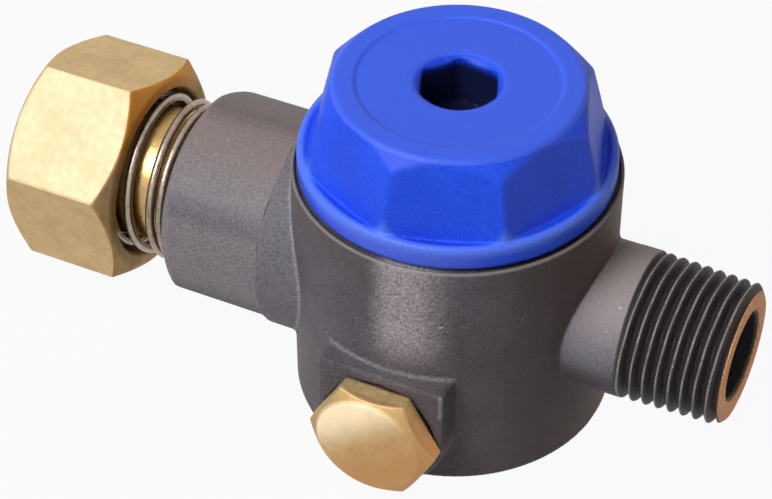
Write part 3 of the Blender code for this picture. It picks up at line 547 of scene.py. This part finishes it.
# Painted reflections of brown surroundings on the nut's end and cone, orange towards the top, with cloudy
# tarnish.
cloudy = ramp(tree, noise(tree, 260.0, 3.0, coords), 0.2, 0.7)
tone_by_place(milled_brass, nut_end, (0.36, 0.215, 0.075), 0.6)
tone_by_place(milled_brass, all_of(tree, nut_end, cloudy), (0.20, 0.115, 0.040), 0.8)
tone_by_place(milled_brass, all_of(tree, nut_end, rising(tree, z, 27.0, 33.0)), (0.54, 0.22, 0.025), 0.8)
print("nut tones: painted_bright flat, tarnished end")

# %% Brass of the plug: painted highlight toward its upper left, painted shade toward its lower right
# Painted shade in brown toward the lower right, painted highlight on the upper left of the face.
uphill = maths(tree, "SUBTRACT", maths(tree, "MULTIPLY", z, 0.8), maths(tree, "MULTIPLY", x, 0.6))
outside_boss = falling(tree, y, 0.2 - PLUG_SEAT, 0.4 - PLUG_SEAT)
painted_shade_lower_right = all_of(tree, outside_boss, falling(tree, uphill, 3.0, 13.0))
tone_by_place(milled_brass, painted_shade_lower_right, (0.46, 0.205, 0.065), 0.62)
on_face = falling(tree, y, -3.6 - PLUG_SEAT, -3.4 - PLUG_SEAT)
painted_upper_left_highlight = all_of(tree, on_face, rising(tree, uphill, 8.0, 14.5))
tone_by_place(milled_brass, painted_upper_left_highlight, (0.99, 0.84, 0.60), 0.85)
from_plug = distance(tree, x, maths(tree, "SUBTRACT", z, PLUG_Z))
near_face = falling(tree, y, -2.4 - PLUG_SEAT, -2.2 - PLUG_SEAT)
on_edge = all_of(tree, near_face, rising(tree, from_plug, 7.62, 7.8))
tone_by_place(milled_brass, on_edge, (0.40, 0.25, 0.10), 0.55)
print("plug tones: lower right, upper left of the face, edge")

# %% [markdown]
# ## Soft-edged forms from distance rules
# A casting has no sharp corner anywhere: every meeting of two forms is a fillet. Booleans with bevels
# often break on such shapes. Here each form is a rule that gives the distance to its surface. Two rules
# can be joined or cut with a radius, and a grid of small cells turns the finished rule into a skin.

# %% Joining and cutting rules
def inside_both(a, b, radius):
    """What lies in both forms, its outer edge rounded."""
    corner = np.hypot(np.maximum(a + radius, 0), np.maximum(b + radius, 0))
    return np.minimum(-radius, np.maximum(a, b)) + corner


def either(a, b, radius):
    """Both forms together, the inner corner between them filled."""
    return -inside_both(-a, -b, radius)


def without(a, b, radius):
    return inside_both(a, -b, radius)


def flats(u, v, sides, normal_deg, reach, radius):
    """A prism with one flat facing normal_deg, its edges rounded."""
    sector = 2 * math.pi / sides
    angle = np.arctan2(v, u) - math.radians(normal_deg)
    angle = np.abs((angle + sector / 2) % sector - sector / 2)
    across = np.hypot(u, v)
    return inside_both(across * np.cos(angle) - reach, across * np.cos(sector - angle) - reach, radius)


# %% From a rule to a skin
SNAP_STEPS = 4
LEAST_SLOPE = 0.2


def skin_cells(values):
    """The mean of the edge crossings in every cell that the surface passes, in grid steps."""
    inside = values < 0
    shape = tuple(n - 1 for n in values.shape)
    total = np.zeros(shape + (3,))
    count = np.zeros(shape)
    for axis in range(3):
        for one in (0, 1):
            for two in (0, 1):
                start = [one, two]
                start.insert(axis, 0)
                stop = list(start)
                stop[axis] = 1
                a = values[tuple(slice(s, s + n) for s, n in zip(start, shape))]
                b = values[tuple(slice(s, s + n) for s, n in zip(stop, shape))]
                cross = (a < 0) != (b < 0)
                share = np.where(cross, a / np.where(cross, a - b, 1.0), 0.0)
                count += cross
                for k in range(3):
                    total[..., k] += np.where(cross, share if k == axis else start[k], 0.0)
    return inside, total, count


def skin_faces(inside, label):
    """One quad round every grid edge that the surface crosses, wound outward."""
    faces = []
    for axis in range(3):
        one, two = (axis + 1) % 3, (axis + 2) % 3
        a = np.moveaxis(inside, (axis, one, two), (0, 1, 2))
        cells = np.moveaxis(label, (axis, one, two), (0, 1, 2))
        first = a[:-1, 1:-1, 1:-1]
        second = a[1:, 1:-1, 1:-1]
        i, j, k = np.nonzero(first != second)
        corners = [cells[i, j, k], cells[i, j + 1, k], cells[i, j + 1, k + 1], cells[i, j, k + 1]]
        quad = np.stack(corners, axis=1)
        flip = ~first[i, j, k]
        quad[flip] = quad[flip][:, ::-1]
        faces.append(quad)
    return np.concatenate(faces)


def slope(rule, points, step=0.02):
    parts = []
    for axis in range(3):
        shift = np.zeros(3)
        shift[axis] = step
        ahead = rule(*(points + shift).T)
        behind = rule(*(points - shift).T)
        parts.append((ahead - behind) / (2 * step))
    return np.stack(parts, axis=1)


def skin(rule, low, high, cell):
    """Vertices in millimetres, pulled onto the surface where the rule is nought, and quads."""
    lines = [np.arange(a, b + cell, cell) for a, b in zip(low, high)]
    grid = np.meshgrid(*lines, indexing="ij")
    inside, total, count = skin_cells(rule(*grid))
    used = count > 0
    label = np.full(used.shape, -1, dtype=np.int64)
    label[used] = np.arange(used.sum())
    where = np.stack(np.nonzero(used), axis=1)
    points = np.asarray(low) + cell * (where + total[used] / count[used][:, None])
    for _ in range(SNAP_STEPS):
        gradient = slope(rule, points)
        size = np.maximum((gradient**2).sum(axis=1), LEAST_SLOPE)
        move = rule(*points.T)[:, None] * gradient / size[:, None]
        points = points - np.clip(move, -0.5 * cell, 0.5 * cell)
    return points, skin_faces(inside, label)


# %% Meshes from points and faces
SHARP_ANGLE = math.radians(40)


def mesh_piece(name, shells, material):
    """One object from (points in millimetres, faces) shells, smooth and closed."""
    all_points = []
    all_faces = []
    before = 0
    for points, faces in shells:
        all_points.append(np.asarray(points) * MM)
        all_faces.extend((np.asarray(faces) + before).tolist())
        before += len(points)
    mesh = bpy.data.meshes.new(name)
    mesh.from_pydata(np.concatenate(all_points).tolist(), [], all_faces)
    mesh.polygons.foreach_set("use_smooth", [True] * len(mesh.polygons))
    mesh.set_sharp_from_angle(angle=SHARP_ANGLE)
    mesh.materials.append(material)
    item = bpy.data.objects.new(name, mesh)
    scene.collection.objects.link(item)
    triangles = sum(len(face) - 2 for face in all_faces)
    print(f"{name}: {len(mesh.vertices)} vertices, {triangles} triangles")
    return item


# %% [markdown]
# ## Turned forms
# A lathe turns an outline about an axis, and a screw thread is the same thing with a radius that
# also depends on the angle. One function makes both: a closed loop of (radius, place) points, and an
# optional rule that changes the radius by place and angle.

# %% Lathe
def upright(radius, place, angle):
    return np.stack([radius * np.cos(angle), radius * np.sin(angle), place], axis=-1)


def along_pipe(radius, place, angle):
    """Angles run from -Y toward +Z."""
    return np.stack([place, -radius * np.cos(angle), AXIS_Z + radius * np.sin(angle)], axis=-1)


def along_plug(radius, place, angle):
    """Places run outward, along -Y."""
    return np.stack([radius * np.cos(angle), -place, PLUG_Z + radius * np.sin(angle)], axis=-1)


def lathe(outline, frame_rule, count=128, cut=None):
    outline = np.asarray(outline, dtype=float)
    angle = np.linspace(0, 2 * math.pi, count, endpoint=False)
    radius = np.repeat(outline[:, :1], count, axis=1)
    place = np.repeat(outline[:, 1:2], count, axis=1)
    angles = np.repeat(angle[None, :], len(outline), axis=0)
    if cut is not None:
        radius = cut(radius, place, angles)
    points = frame_rule(radius, place, angles).reshape(-1, 3)
    row = np.arange(len(outline))[:, None] * count
    after = np.roll(np.arange(len(outline)), -1)[:, None] * count
    step = np.arange(count)[None, :]
    following = (step + 1) % count
    quads = np.stack([row + step, row + following, after + following, after + step], axis=-1).reshape(-1, 4)
    corners = points[quads]
    normal = np.cross(corners[:, 2] - corners[:, 0], corners[:, 3] - corners[:, 1])
    volume = (corners.mean(axis=1) * normal).sum()
    return points, quads if volume > 0 else quads[:, ::-1]


def rounded(outline, radius, steps=3):
    """The outline with every corner turned into an arc."""
    points = np.asarray(outline, dtype=float)
    made = []
    for i, corner in enumerate(points):
        before = points[i - 1] - corner
        after = points[(i + 1) % len(points)] - corner
        room = min(np.linalg.norm(before), np.linalg.norm(after)) * 0.45
        reach = min(radius, room)
        start = corner + before / np.linalg.norm(before) * reach
        stop = corner + after / np.linalg.norm(after) * reach
        for t in np.linspace(0, 1, steps + 1):
            made.append((1 - t) ** 2 * start + 2 * t * (1 - t) * corner + t**2 * stop)
    return made


def thread_height(place, angle, pitch):
    """One on a crest, nought in a root, with small flats on both."""
    phase = (place / pitch - angle / (2 * math.pi)) % 1.0
    return np.clip((np.abs(2 * phase - 1) - 0.1) / 0.8, 0.0, 1.0)


# %% [markdown]
# ## The body casting
# The body is one casting: an upright drum, a round stub with six milled flats for the union, a round neck
# for the outlet and a boss for the plug, square above and round below. The same passages as in the solid
# are cut out of it. The drum stays a hair inside the rim that is turned later, so that one skin shows.

# %% Outside of the body
DRUM_TOP = 38.3
RIM_PROUD = 0.02
NECK_RADIUS = 16.0
NECK_HALF = 11.5
SPIGOT_RADIUS = 10.6
SPIGOT_END = 27.6
STUB_FLAT = 14.8
STUB_TIP = 12.8
STUB_CONE = math.radians(33.0)
BOSS_ROOT = 9.0


def body_outside(x, y, z):
    pipe = np.hypot(y, z - AXIS_Z)
    drum = inside_both(np.hypot(x, y) - (DRUM_RADIUS - RIM_PROUD), -z, 0.8)
    drum = np.maximum(drum, z - DRUM_TOP)
    stub_neck = inside_both(pipe - NECK_RADIUS, np.abs(x - (STUB_STEP + NECK_HALF)) - NECK_HALF, 0.15)
    whole = either(drum, stub_neck, 0.4)
    spigot = inside_both(pipe - SPIGOT_RADIUS, x - SPIGOT_END, 0.3)
    whole = either(whole, np.maximum(spigot, -x), 0.35)
    stub = inside_both(flats(-y, z - AXIS_Z, 6, 0.0, STUB_FLAT, 0.5), pipe - STUB_ROUND, 1.6)
    tip = (pipe - STUB_TIP) * math.sin(STUB_CONE) - (x - STUB_END) * math.cos(STUB_CONE)
    stub = inside_both(stub, tip, 0.6)
    stub = inside_both(stub, STUB_END - x, 0.4)
    stub = np.maximum(stub, x - (STUB_STEP + 1.0))
    whole = either(whole, stub, 0.1)
    below = np.minimum(z - PLUG_Z, 0.0)
    boss = inside_both(np.hypot(x, below) - BOSS_HALF, z - BOSS_TOP, 0.8)
    boss = inside_both(boss, -y - BOSS_FACE, 0.45)
    return either(whole, np.maximum(boss, y + BOSS_ROOT), 0.55)


# %% Passages of the body
OUTLET_BORE = 6.25


def body_passages(x, y, z):
    pipe = np.hypot(y, z - AXIS_Z)
    rho = np.hypot(x, y)
    plug = np.hypot(x, z - PLUG_Z)
    bonnet_well = np.maximum(rho - 17.0, 27.5 - z)
    upper_chamber = np.maximum(rho - 10.5, 13.5 - z)
    seat_hole = np.maximum(rho - 6.0, 9.0 - z)
    outlet_bore = np.maximum(pipe - OUTLET_BORE, 9.0 - x)
    outlet_step = np.maximum(pipe - 6.5, 24.3 - x)
    inlet_bore = np.maximum(pipe - 6.5, x + 14.25)
    tail_socket = np.maximum(pipe - 10.3, x + 26.0)
    inlet_drop = np.maximum(np.hypot(x + 16.4, y) - 4.3, np.abs(z - 13.6) - 8.3)
    lower_gallery = np.maximum(np.hypot(y, z - 6.5) - 4.0, np.abs(x + 4.5) - 12.9)
    plug_hole = np.maximum(plug - 6.6, y + 16.7)
    washer_recess = np.maximum(plug - 8.2, y + 23.8)
    drain = np.maximum(np.hypot(x, z - 5.9) - 2.0, np.abs(y + 10.0) - 8.0)
    around_needle = [bonnet_well, upper_chamber, seat_hole]
    along_flow = [outlet_bore, outlet_step, inlet_bore, tail_socket, inlet_drop, lower_gallery]
    return np.minimum.reduce(around_needle + along_flow + [plug_hole, washer_recess, drain])


def casting(x, y, z):
    return without(body_outside(x, y, z), body_passages(x, y, z), 0.3)


casting_skin = skin(casting, low=(-41.7, -25.8, -0.9), high=(29.3, 24.0, 39.2), cell=0.49)
print("casting:", len(casting_skin[0]), "points")

# %% [markdown]
# The rim that the cap turns in is a lip only 0.6 mm wide, thinner than the grid can hold, so it is
# turned on the lathe, and so is the taper thread. Its crests follow the pipe taper of 1 in 16.

# %% Rim and outlet thread
rim = lathe(
    [(17.0, 36.2), (DRUM_RADIUS, 36.2), (DRUM_RADIUS, 38.62), (22.94, 38.85), (22.82, 38.98), (22.64, 38.99),
     (22.48, 38.9), (22.4, 38.7), (22.4, 38.4), (17.0, 38.4)],
    upright, 192,
)
OUTLET_ROOT = 24.6
THREAD_DEPTH = 1.05


def outlet_thread(radius, place, angle):
    past = place - THREAD_START
    crest = CREST_RADIUS - past * PIPE_TAPER
    depth = THREAD_DEPTH * np.clip(past / 0.6, 0, 1)
    cut = crest - depth * (1 - thread_height(place, angle, PIPE_PITCH))
    end = 9.35 + OUTLET_END - place
    neck = 10.58 + 0.08 * np.clip((place - OUTLET_ROOT) / 1.2, 0, 1)
    return np.where(radius > 9.0, np.where(place < THREAD_START, neck, np.minimum(cut, end)), radius)


neck_places = [OUTLET_ROOT, 25.2, 25.8, 28.1]
thread_places = np.arange(THREAD_START, OUTLET_END, PIPE_PITCH / 10)
outlet_rows = [(10.0, place) for place in [*neck_places, *thread_places, OUTLET_END]]
mouth = [(OUTLET_BORE + 0.5, OUTLET_END), (OUTLET_BORE, OUTLET_END - 0.5)]
outlet = lathe([(OUTLET_BORE, OUTLET_ROOT)] + outlet_rows + mouth, along_pipe, 128, outlet_thread)
body = mesh_piece("body_casting", [casting_skin, rim, outlet], iron)
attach(body, "housing")
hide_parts("valve_body")

# %% [markdown]
# ## The cap
# A drafted octagon on a bulging round flange, moulded in blue. Its top has a ring round a slightly
# sunken disc, the corners are cut by a cone, and a socket with a coned and rounded lip takes a hexagon key.

# %% Cap rule
FLANGE_RADIUS = 22.1
FLANGE_TOP = 42.5
BEAD_INNER = 21.3
BEAD_FALL = 0.4
TOWER_FOOT = 41.8
TOWER_REACH = 20.0
TOWER_DRAFT = 2.7 / 11.7
TOWER_TURN = math.radians(-115.9)
CROWN_RADIUS = 16.85
CROWN_SLOPE = math.radians(43.0)
DISC_RADIUS = 14.25
DISC_DEPTH = 0.28


def cap_form(x, y, z):
    rho = np.hypot(x, y)
    bead_top = z - FLANGE_TOP + BEAD_FALL * np.clip((BEAD_INNER - rho) / 1.2, 0, 1)
    flange = inside_both(rho - FLANGE_RADIUS, bead_top, 0.8)
    flange = inside_both(flange, CAP_FOOT - z, 0.8)
    lean = 1 / math.hypot(1, TOWER_DRAFT)
    reach = TOWER_REACH - TOWER_DRAFT * (z - TOWER_FOOT)
    sector = math.pi / 4
    angle = np.arctan2(y, x) - TOWER_TURN
    angle = np.abs((angle + sector / 2) % sector - sector / 2)
    near = (rho * np.cos(angle) - reach) * lean
    far = (rho * np.cos(sector - angle) - reach) * lean
    tower = inside_both(near, far, 0.3)
    crown = (rho - CROWN_RADIUS) * math.sin(CROWN_SLOPE) + (z - CAP_TOP) * math.cos(CROWN_SLOPE)
    tower = inside_both(tower, crown, 0.3)
    sunk = np.clip((DISC_RADIUS - rho) / 0.4, 0, 1)
    tower = inside_both(tower, z - CAP_TOP + DISC_DEPTH * sunk * sunk * (3 - 2 * sunk), 0.2)
    return either(flange, np.maximum(tower, CAP_FOOT + 1.0 - z), 0.35)


# %% Cap holes
SOCKET_REACH = 5.15
SOCKET_TURN = -38
SOCKET_FLOOR = 45.5
LEAD_IN_RADIUS = 6.1


def cap_holes(x, y, z):
    rho = np.hypot(x, y)
    socket = np.maximum(flats(x, y, 6, SOCKET_TURN, SOCKET_REACH, 0.8), SOCKET_FLOOR - z)
    over_disc = z - (CAP_TOP - DISC_DEPTH)
    lead_in = np.maximum((rho - LEAD_IN_RADIUS - over_disc) * math.sqrt(0.5), 50.0 - z)
    spindle_pocket = np.maximum(flats(x, y, 6, 30, 3.7, 0.2), z - 43.8)
    seal_groove = np.maximum(np.abs(rho - 19.3) - 1.0, z - 40.0)
    return np.minimum.reduce([socket, lead_in, spindle_pocket, seal_groove])


def cap_rule(x, y, z):
    return without(cap_form(x, y, z), cap_holes(x, y, z), 0.55)


cap_skin = skin(cap_rule, low=(-22.9, -22.9, 38.0), high=(22.9, 22.9, 54.2), cell=0.29)
cap = mesh_piece("cap_moulding", [cap_skin], blue)
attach(cap, "cap")
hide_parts("adjusting_cap")

# %% [markdown]
# ## The drain plug
# A brass hexagon with a coned edge and a slightly domed face. Its threaded stem shows when it is drawn.

# %% Plug
HEAD_FLAT = 8.3
HEAD_EDGE = 7.6
HEAD_HEIGHT = 4.0
HEAD_DOME = 0.15
HEAD_SLANT = math.radians(38.0)
STEM_RADIUS = 5.5
STEM_TIP = 17.3
PLUG_PITCH = 1.337


def plug_rule(x, y, z):
    out = -y - PLUG_SEAT
    across = np.hypot(x, z - PLUG_Z)
    head = flats(x, z - PLUG_Z, 6, 30.0, HEAD_FLAT, 0.18)
    over_cone = out - (HEAD_HEIGHT - HEAD_DOME)
    cone = (across - HEAD_EDGE) * math.sin(HEAD_SLANT) + over_cone * math.cos(HEAD_SLANT)
    head = inside_both(head, cone, 0.12)
    head = inside_both(head, out - HEAD_HEIGHT + HEAD_DOME * (across / HEAD_EDGE) ** 2, 0.12)
    head = inside_both(head, -out, 0.3)
    neck = np.maximum(across - 5.6, np.abs(out + 0.5) - 1.2)
    return either(head, neck, 0.2)


def plug_thread(radius, place, angle):
    fade = np.clip((BOSS_FACE - place) / 0.5, 0, 1) * np.clip((place - STEM_TIP + 0.1) / 0.7, 0, 1)
    cut = STEM_RADIUS + 0.8 * thread_height(place, angle, PLUG_PITCH) * fade
    return np.where(radius > 5.0, cut, radius)


plug_skin = skin(plug_rule, low=(-10.2, -29.7, 0.9), high=(10.2, -23.1, 18.8), cell=0.2)
stem_rows = [(STEM_RADIUS, place) for place in np.arange(STEM_TIP, PLUG_SEAT + 0.1, PLUG_PITCH / 10)]
stem = lathe([(0.4, STEM_TIP)] + stem_rows + [(0.4, PLUG_SEAT)], along_plug, 96, plug_thread)
plug = mesh_piece("plug_turning", [plug_skin, stem], milled_brass)
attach(plug, "plug")
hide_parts("drain_plug")

# %% [markdown]
# ## The union
# The nut is a brass hexagon with coned ends. It slides on a plain brass tail against a spring, and its
# mouth has the female thread for the inlet pipe.

# %% Nut
NUT_FLAT = 15.0
NUT_THREAD_ROOT = 13.2
NUT_THREAD_START = -65.6
NUT_THREAD_END = -54.5


def nut_rule(x, y, z):
    pipe = np.hypot(y, z - AXIS_Z)
    hexagon = flats(-y, z - AXIS_Z, 6, NUT_TURN + 30, NUT_FLAT, 0.15)
    for end in (x - NUT_NEAR, NUT_MOUTH - x):
        cone = (pipe - NUT_EDGE) * math.sin(NUT_SLANT) + end * math.cos(NUT_SLANT)
        hexagon = inside_both(hexagon, cone, 0.15)
        hexagon = inside_both(hexagon, end, 0.2)
    spring_room = np.maximum(pipe - 12.9, -52.3 - x)
    tail_hole = pipe - 10.3
    thread_hole = np.maximum(pipe - 13.3, x - NUT_THREAD_END)
    return without(hexagon, np.minimum.reduce([spring_room, tail_hole, thread_hole]), 0.3)


def nut_thread(radius, place, angle):
    fade_in = np.clip((place - NUT_THREAD_START) / 0.9, 0, 1)
    fade_out = np.clip((NUT_THREAD_END - 0.3 - place) / 0.5, 0, 1)
    cut = NUT_THREAD_ROOT - 1.16 * thread_height(place, angle, PIPE_PITCH) * fade_in * fade_out
    return np.where(radius < 13.4, cut, radius)


nut_skin = skin(nut_rule, low=(-66.4, -18.2, 1.8), high=(-47.4, 18.2, 38.2), cell=0.3)
nut_places = np.arange(NUT_THREAD_START, NUT_THREAD_END + 0.2, PIPE_PITCH / 10)
nut_rows = [(NUT_THREAD_ROOT, place) for place in nut_places]
nut_back = [(13.6, NUT_THREAD_END + 0.1), (13.6, NUT_THREAD_START)]
nut_teeth = lathe(nut_rows + nut_back, along_pipe, 128, nut_thread)
nut = mesh_piece("union_nut_turning", [nut_skin, nut_teeth], milled_brass)
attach(nut, "nut")
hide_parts("union_nut")

# %% Tail
def turned_ring(name, outline, edge, material):
    """A ring about the pipe, from a closed outline with its corners rounded."""
    return mesh_piece(name, [lathe(rounded(outline, edge), along_pipe)], material)


tail_far, tail_near = span("union_tail", 0)
collar = [(6.5, tail_far), (11.6, tail_far), (11.6, tail_far + 2.0), (10.0, tail_far + 2.0)]
seal_groove = [(10.0, -29.6), (9.0, -29.6), (9.0, -28.0), (10.0, -28.0)]
tail = turned_ring("tail_turning", collar + seal_groove + [(10.0, tail_near), (6.5, tail_near)], 0.2, brass)
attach(tail, "housing")
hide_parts("union_tail")

# %% Gasket and spring seat
def washer_outline(solid, inner, outer):
    far, near = span(solid, 0)
    return [(inner, far), (outer, far), (outer, near), (inner, near)]


gasket = turned_ring("gasket_ring", washer_outline("union_gasket", 7.3, 11.6), 0.3, fibre)
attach(gasket, "housing")
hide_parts("union_gasket")
seat_ring = turned_ring("spring_seat_ring", washer_outline("slip_washer", 10.3, 12.6), 0.15, steel)
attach(seat_ring, "slip")
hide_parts("slip_washer")

# %% [markdown]
# ## The spring
# A coil follows a rule along its length: close turns at both ends and an open run between. Geometry
# Nodes bend a straight line into that coil and sweep a round wire along it.

# %% Spring tree
def spring_tree(sizes, material):
    tree = bpy.data.node_groups.new("wire_spring", "GeometryNodeTree")
    tree.interface.new_socket("Geometry", in_out="OUTPUT", socket_type="NodeSocketGeometry")
    for label, value in sizes.items():
        socket = tree.interface.new_socket(label, in_out="INPUT", socket_type="NodeSocketFloat")
        socket.default_value = value
    given = node(tree, "NodeGroupInput", -1800, 0).outputs

    line = node(tree, "GeometryNodeCurvePrimitiveLine", -1200, 300)
    many = node(tree, "GeometryNodeResampleCurve", -1000, 300, {"Curve": line.outputs[0], "Count": 230})
    factor = node(tree, "GeometryNodeSplineParameter", -1400, 100).outputs["Factor"]
    ends = maths(tree, "ADD", given["First turns"], given["Last turns"])
    at = maths(tree, "MULTIPLY", factor, maths(tree, "ADD", ends, given["Open turns"]))
    open_run = maths(tree, "SUBTRACT", given["Length"], maths(tree, "MULTIPLY", ends, given["End pitch"]))
    open_pitch = maths(tree, "DIVIDE", open_run, given["Open turns"])
    past = maths(tree, "SUBTRACT", at, given["First turns"])
    opened = maths(tree, "MINIMUM", maths(tree, "MAXIMUM", past, 0.0), given["Open turns"])
    last = maths(tree, "MAXIMUM", maths(tree, "SUBTRACT", past, given["Open turns"]), 0.0)
    closed = maths(tree, "ADD", maths(tree, "MINIMUM", at, given["First turns"]), last)
    close_run = maths(tree, "MULTIPLY", closed, given["End pitch"])
    run = maths(tree, "ADD", close_run, maths(tree, "MULTIPLY", opened, open_pitch))
    angle = maths(tree, "ADD", given["Turn"], maths(tree, "MULTIPLY", at, 2 * math.pi))
    sideways = maths(tree, "MULTIPLY", maths(tree, "COSINE", angle), given["Coil radius"])
    rise = maths(tree, "MULTIPLY", maths(tree, "SINE", angle), given["Coil radius"])
    coil = {
        0: maths(tree, "SUBTRACT", given["Start"], run),
        1: maths(tree, "MULTIPLY", sideways, -1.0),
        2: maths(tree, "ADD", rise, AXIS_Z * MM),
    }
    place = node(tree, "ShaderNodeCombineXYZ", -500, 100, coil).outputs[0]

    bend = node(tree, "GeometryNodeSetPosition", -300, 300, {"Geometry": many.outputs[0], "Position": place})
    wire = {"Resolution": 16, "Radius": given["Wire radius"]}
    circle = node(tree, "GeometryNodeCurvePrimitiveCircle", -300, 0, wire)
    swept = {"Curve": bend.outputs[0], "Profile Curve": circle.outputs[0], "Fill Caps": True}
    sweep = node(tree, "GeometryNodeCurveToMesh", 0, 300, swept)
    real = node(tree, "GeometryNodeRealizeInstances", 200, 300, {0: sweep.outputs[0]})
    smooth = node(tree, "GeometryNodeSetShadeSmooth", 350, 300, {0: real.outputs[0]})
    paint = node(tree, "GeometryNodeSetMaterial", 500, 300, {0: smooth.outputs[0]})
    paint.inputs["Material"].default_value = material
    node(tree, "NodeGroupOutput", 700, 300, {0: paint.outputs[0]})
    return tree


# %% Spring piece
def from_tree(name, tree, values):
    """Runs a Geometry Nodes tree and keeps its result as a plain mesh."""
    start = bpy.data.objects.new(name + "_tree", bpy.data.meshes.new(name + "_tree"))
    scene.collection.objects.link(start)
    change = start.modifiers.new("tree", "NODES")
    change.node_group = tree
    for socket in tree.interface.items_tree:
        if socket.in_out == "INPUT":
            change[socket.identifier] = values[socket.name]
    ready = start.evaluated_get(bpy.context.evaluated_depsgraph_get())
    mesh = bpy.data.meshes.new_from_object(ready)
    start.modifiers.remove(change)
    bpy.data.objects.remove(start)
    mesh.name = name
    item = bpy.data.objects.new(name, mesh)
    scene.collection.objects.link(item)
    return item


spring_sizes = {
    "Start": -41.5 * MM,
    "Length": 9.0 * MM,
    "Coil radius": 11.5 * MM,
    "Wire radius": 0.66 * MM,
    "First turns": 1.3,
    "Open turns": 1.458,
    "Last turns": 0.75,
    "End pitch": 1.65 * MM,
    "Turn": math.radians(-60),
}
spring = from_tree("union_spring_wire", spring_tree(spring_sizes, steel), spring_sizes)
shape = bmesh.new()
shape.from_mesh(spring.data)
bmesh.ops.recalc_face_normals(shape, faces=shape.faces)
shape.to_mesh(spring.data)
shape.free()
print("spring:", len(spring.data.vertices), "vertices")
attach(spring, "housing")
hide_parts("union_spring")
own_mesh(spring)

# %% [markdown]
# ## The inner pieces
# Pieces that hardly show keep their solids, and take the finish of their material slot.

# %% Finishes for the solids
looks = {
    "stainless": steel,
    "brass": brass,
    "seal_rubber": rubber,
    "washer_plastic": bearing,
    "fibre": fibre,
    "body_iron": iron,
    "cap_plastic": blue,
}
for part in frame["record"]["subparts"]:
    item = frame["nodes"][part["node"]]
    for place in item.material_slots:
        place.material = looks[part["material_slot"]]
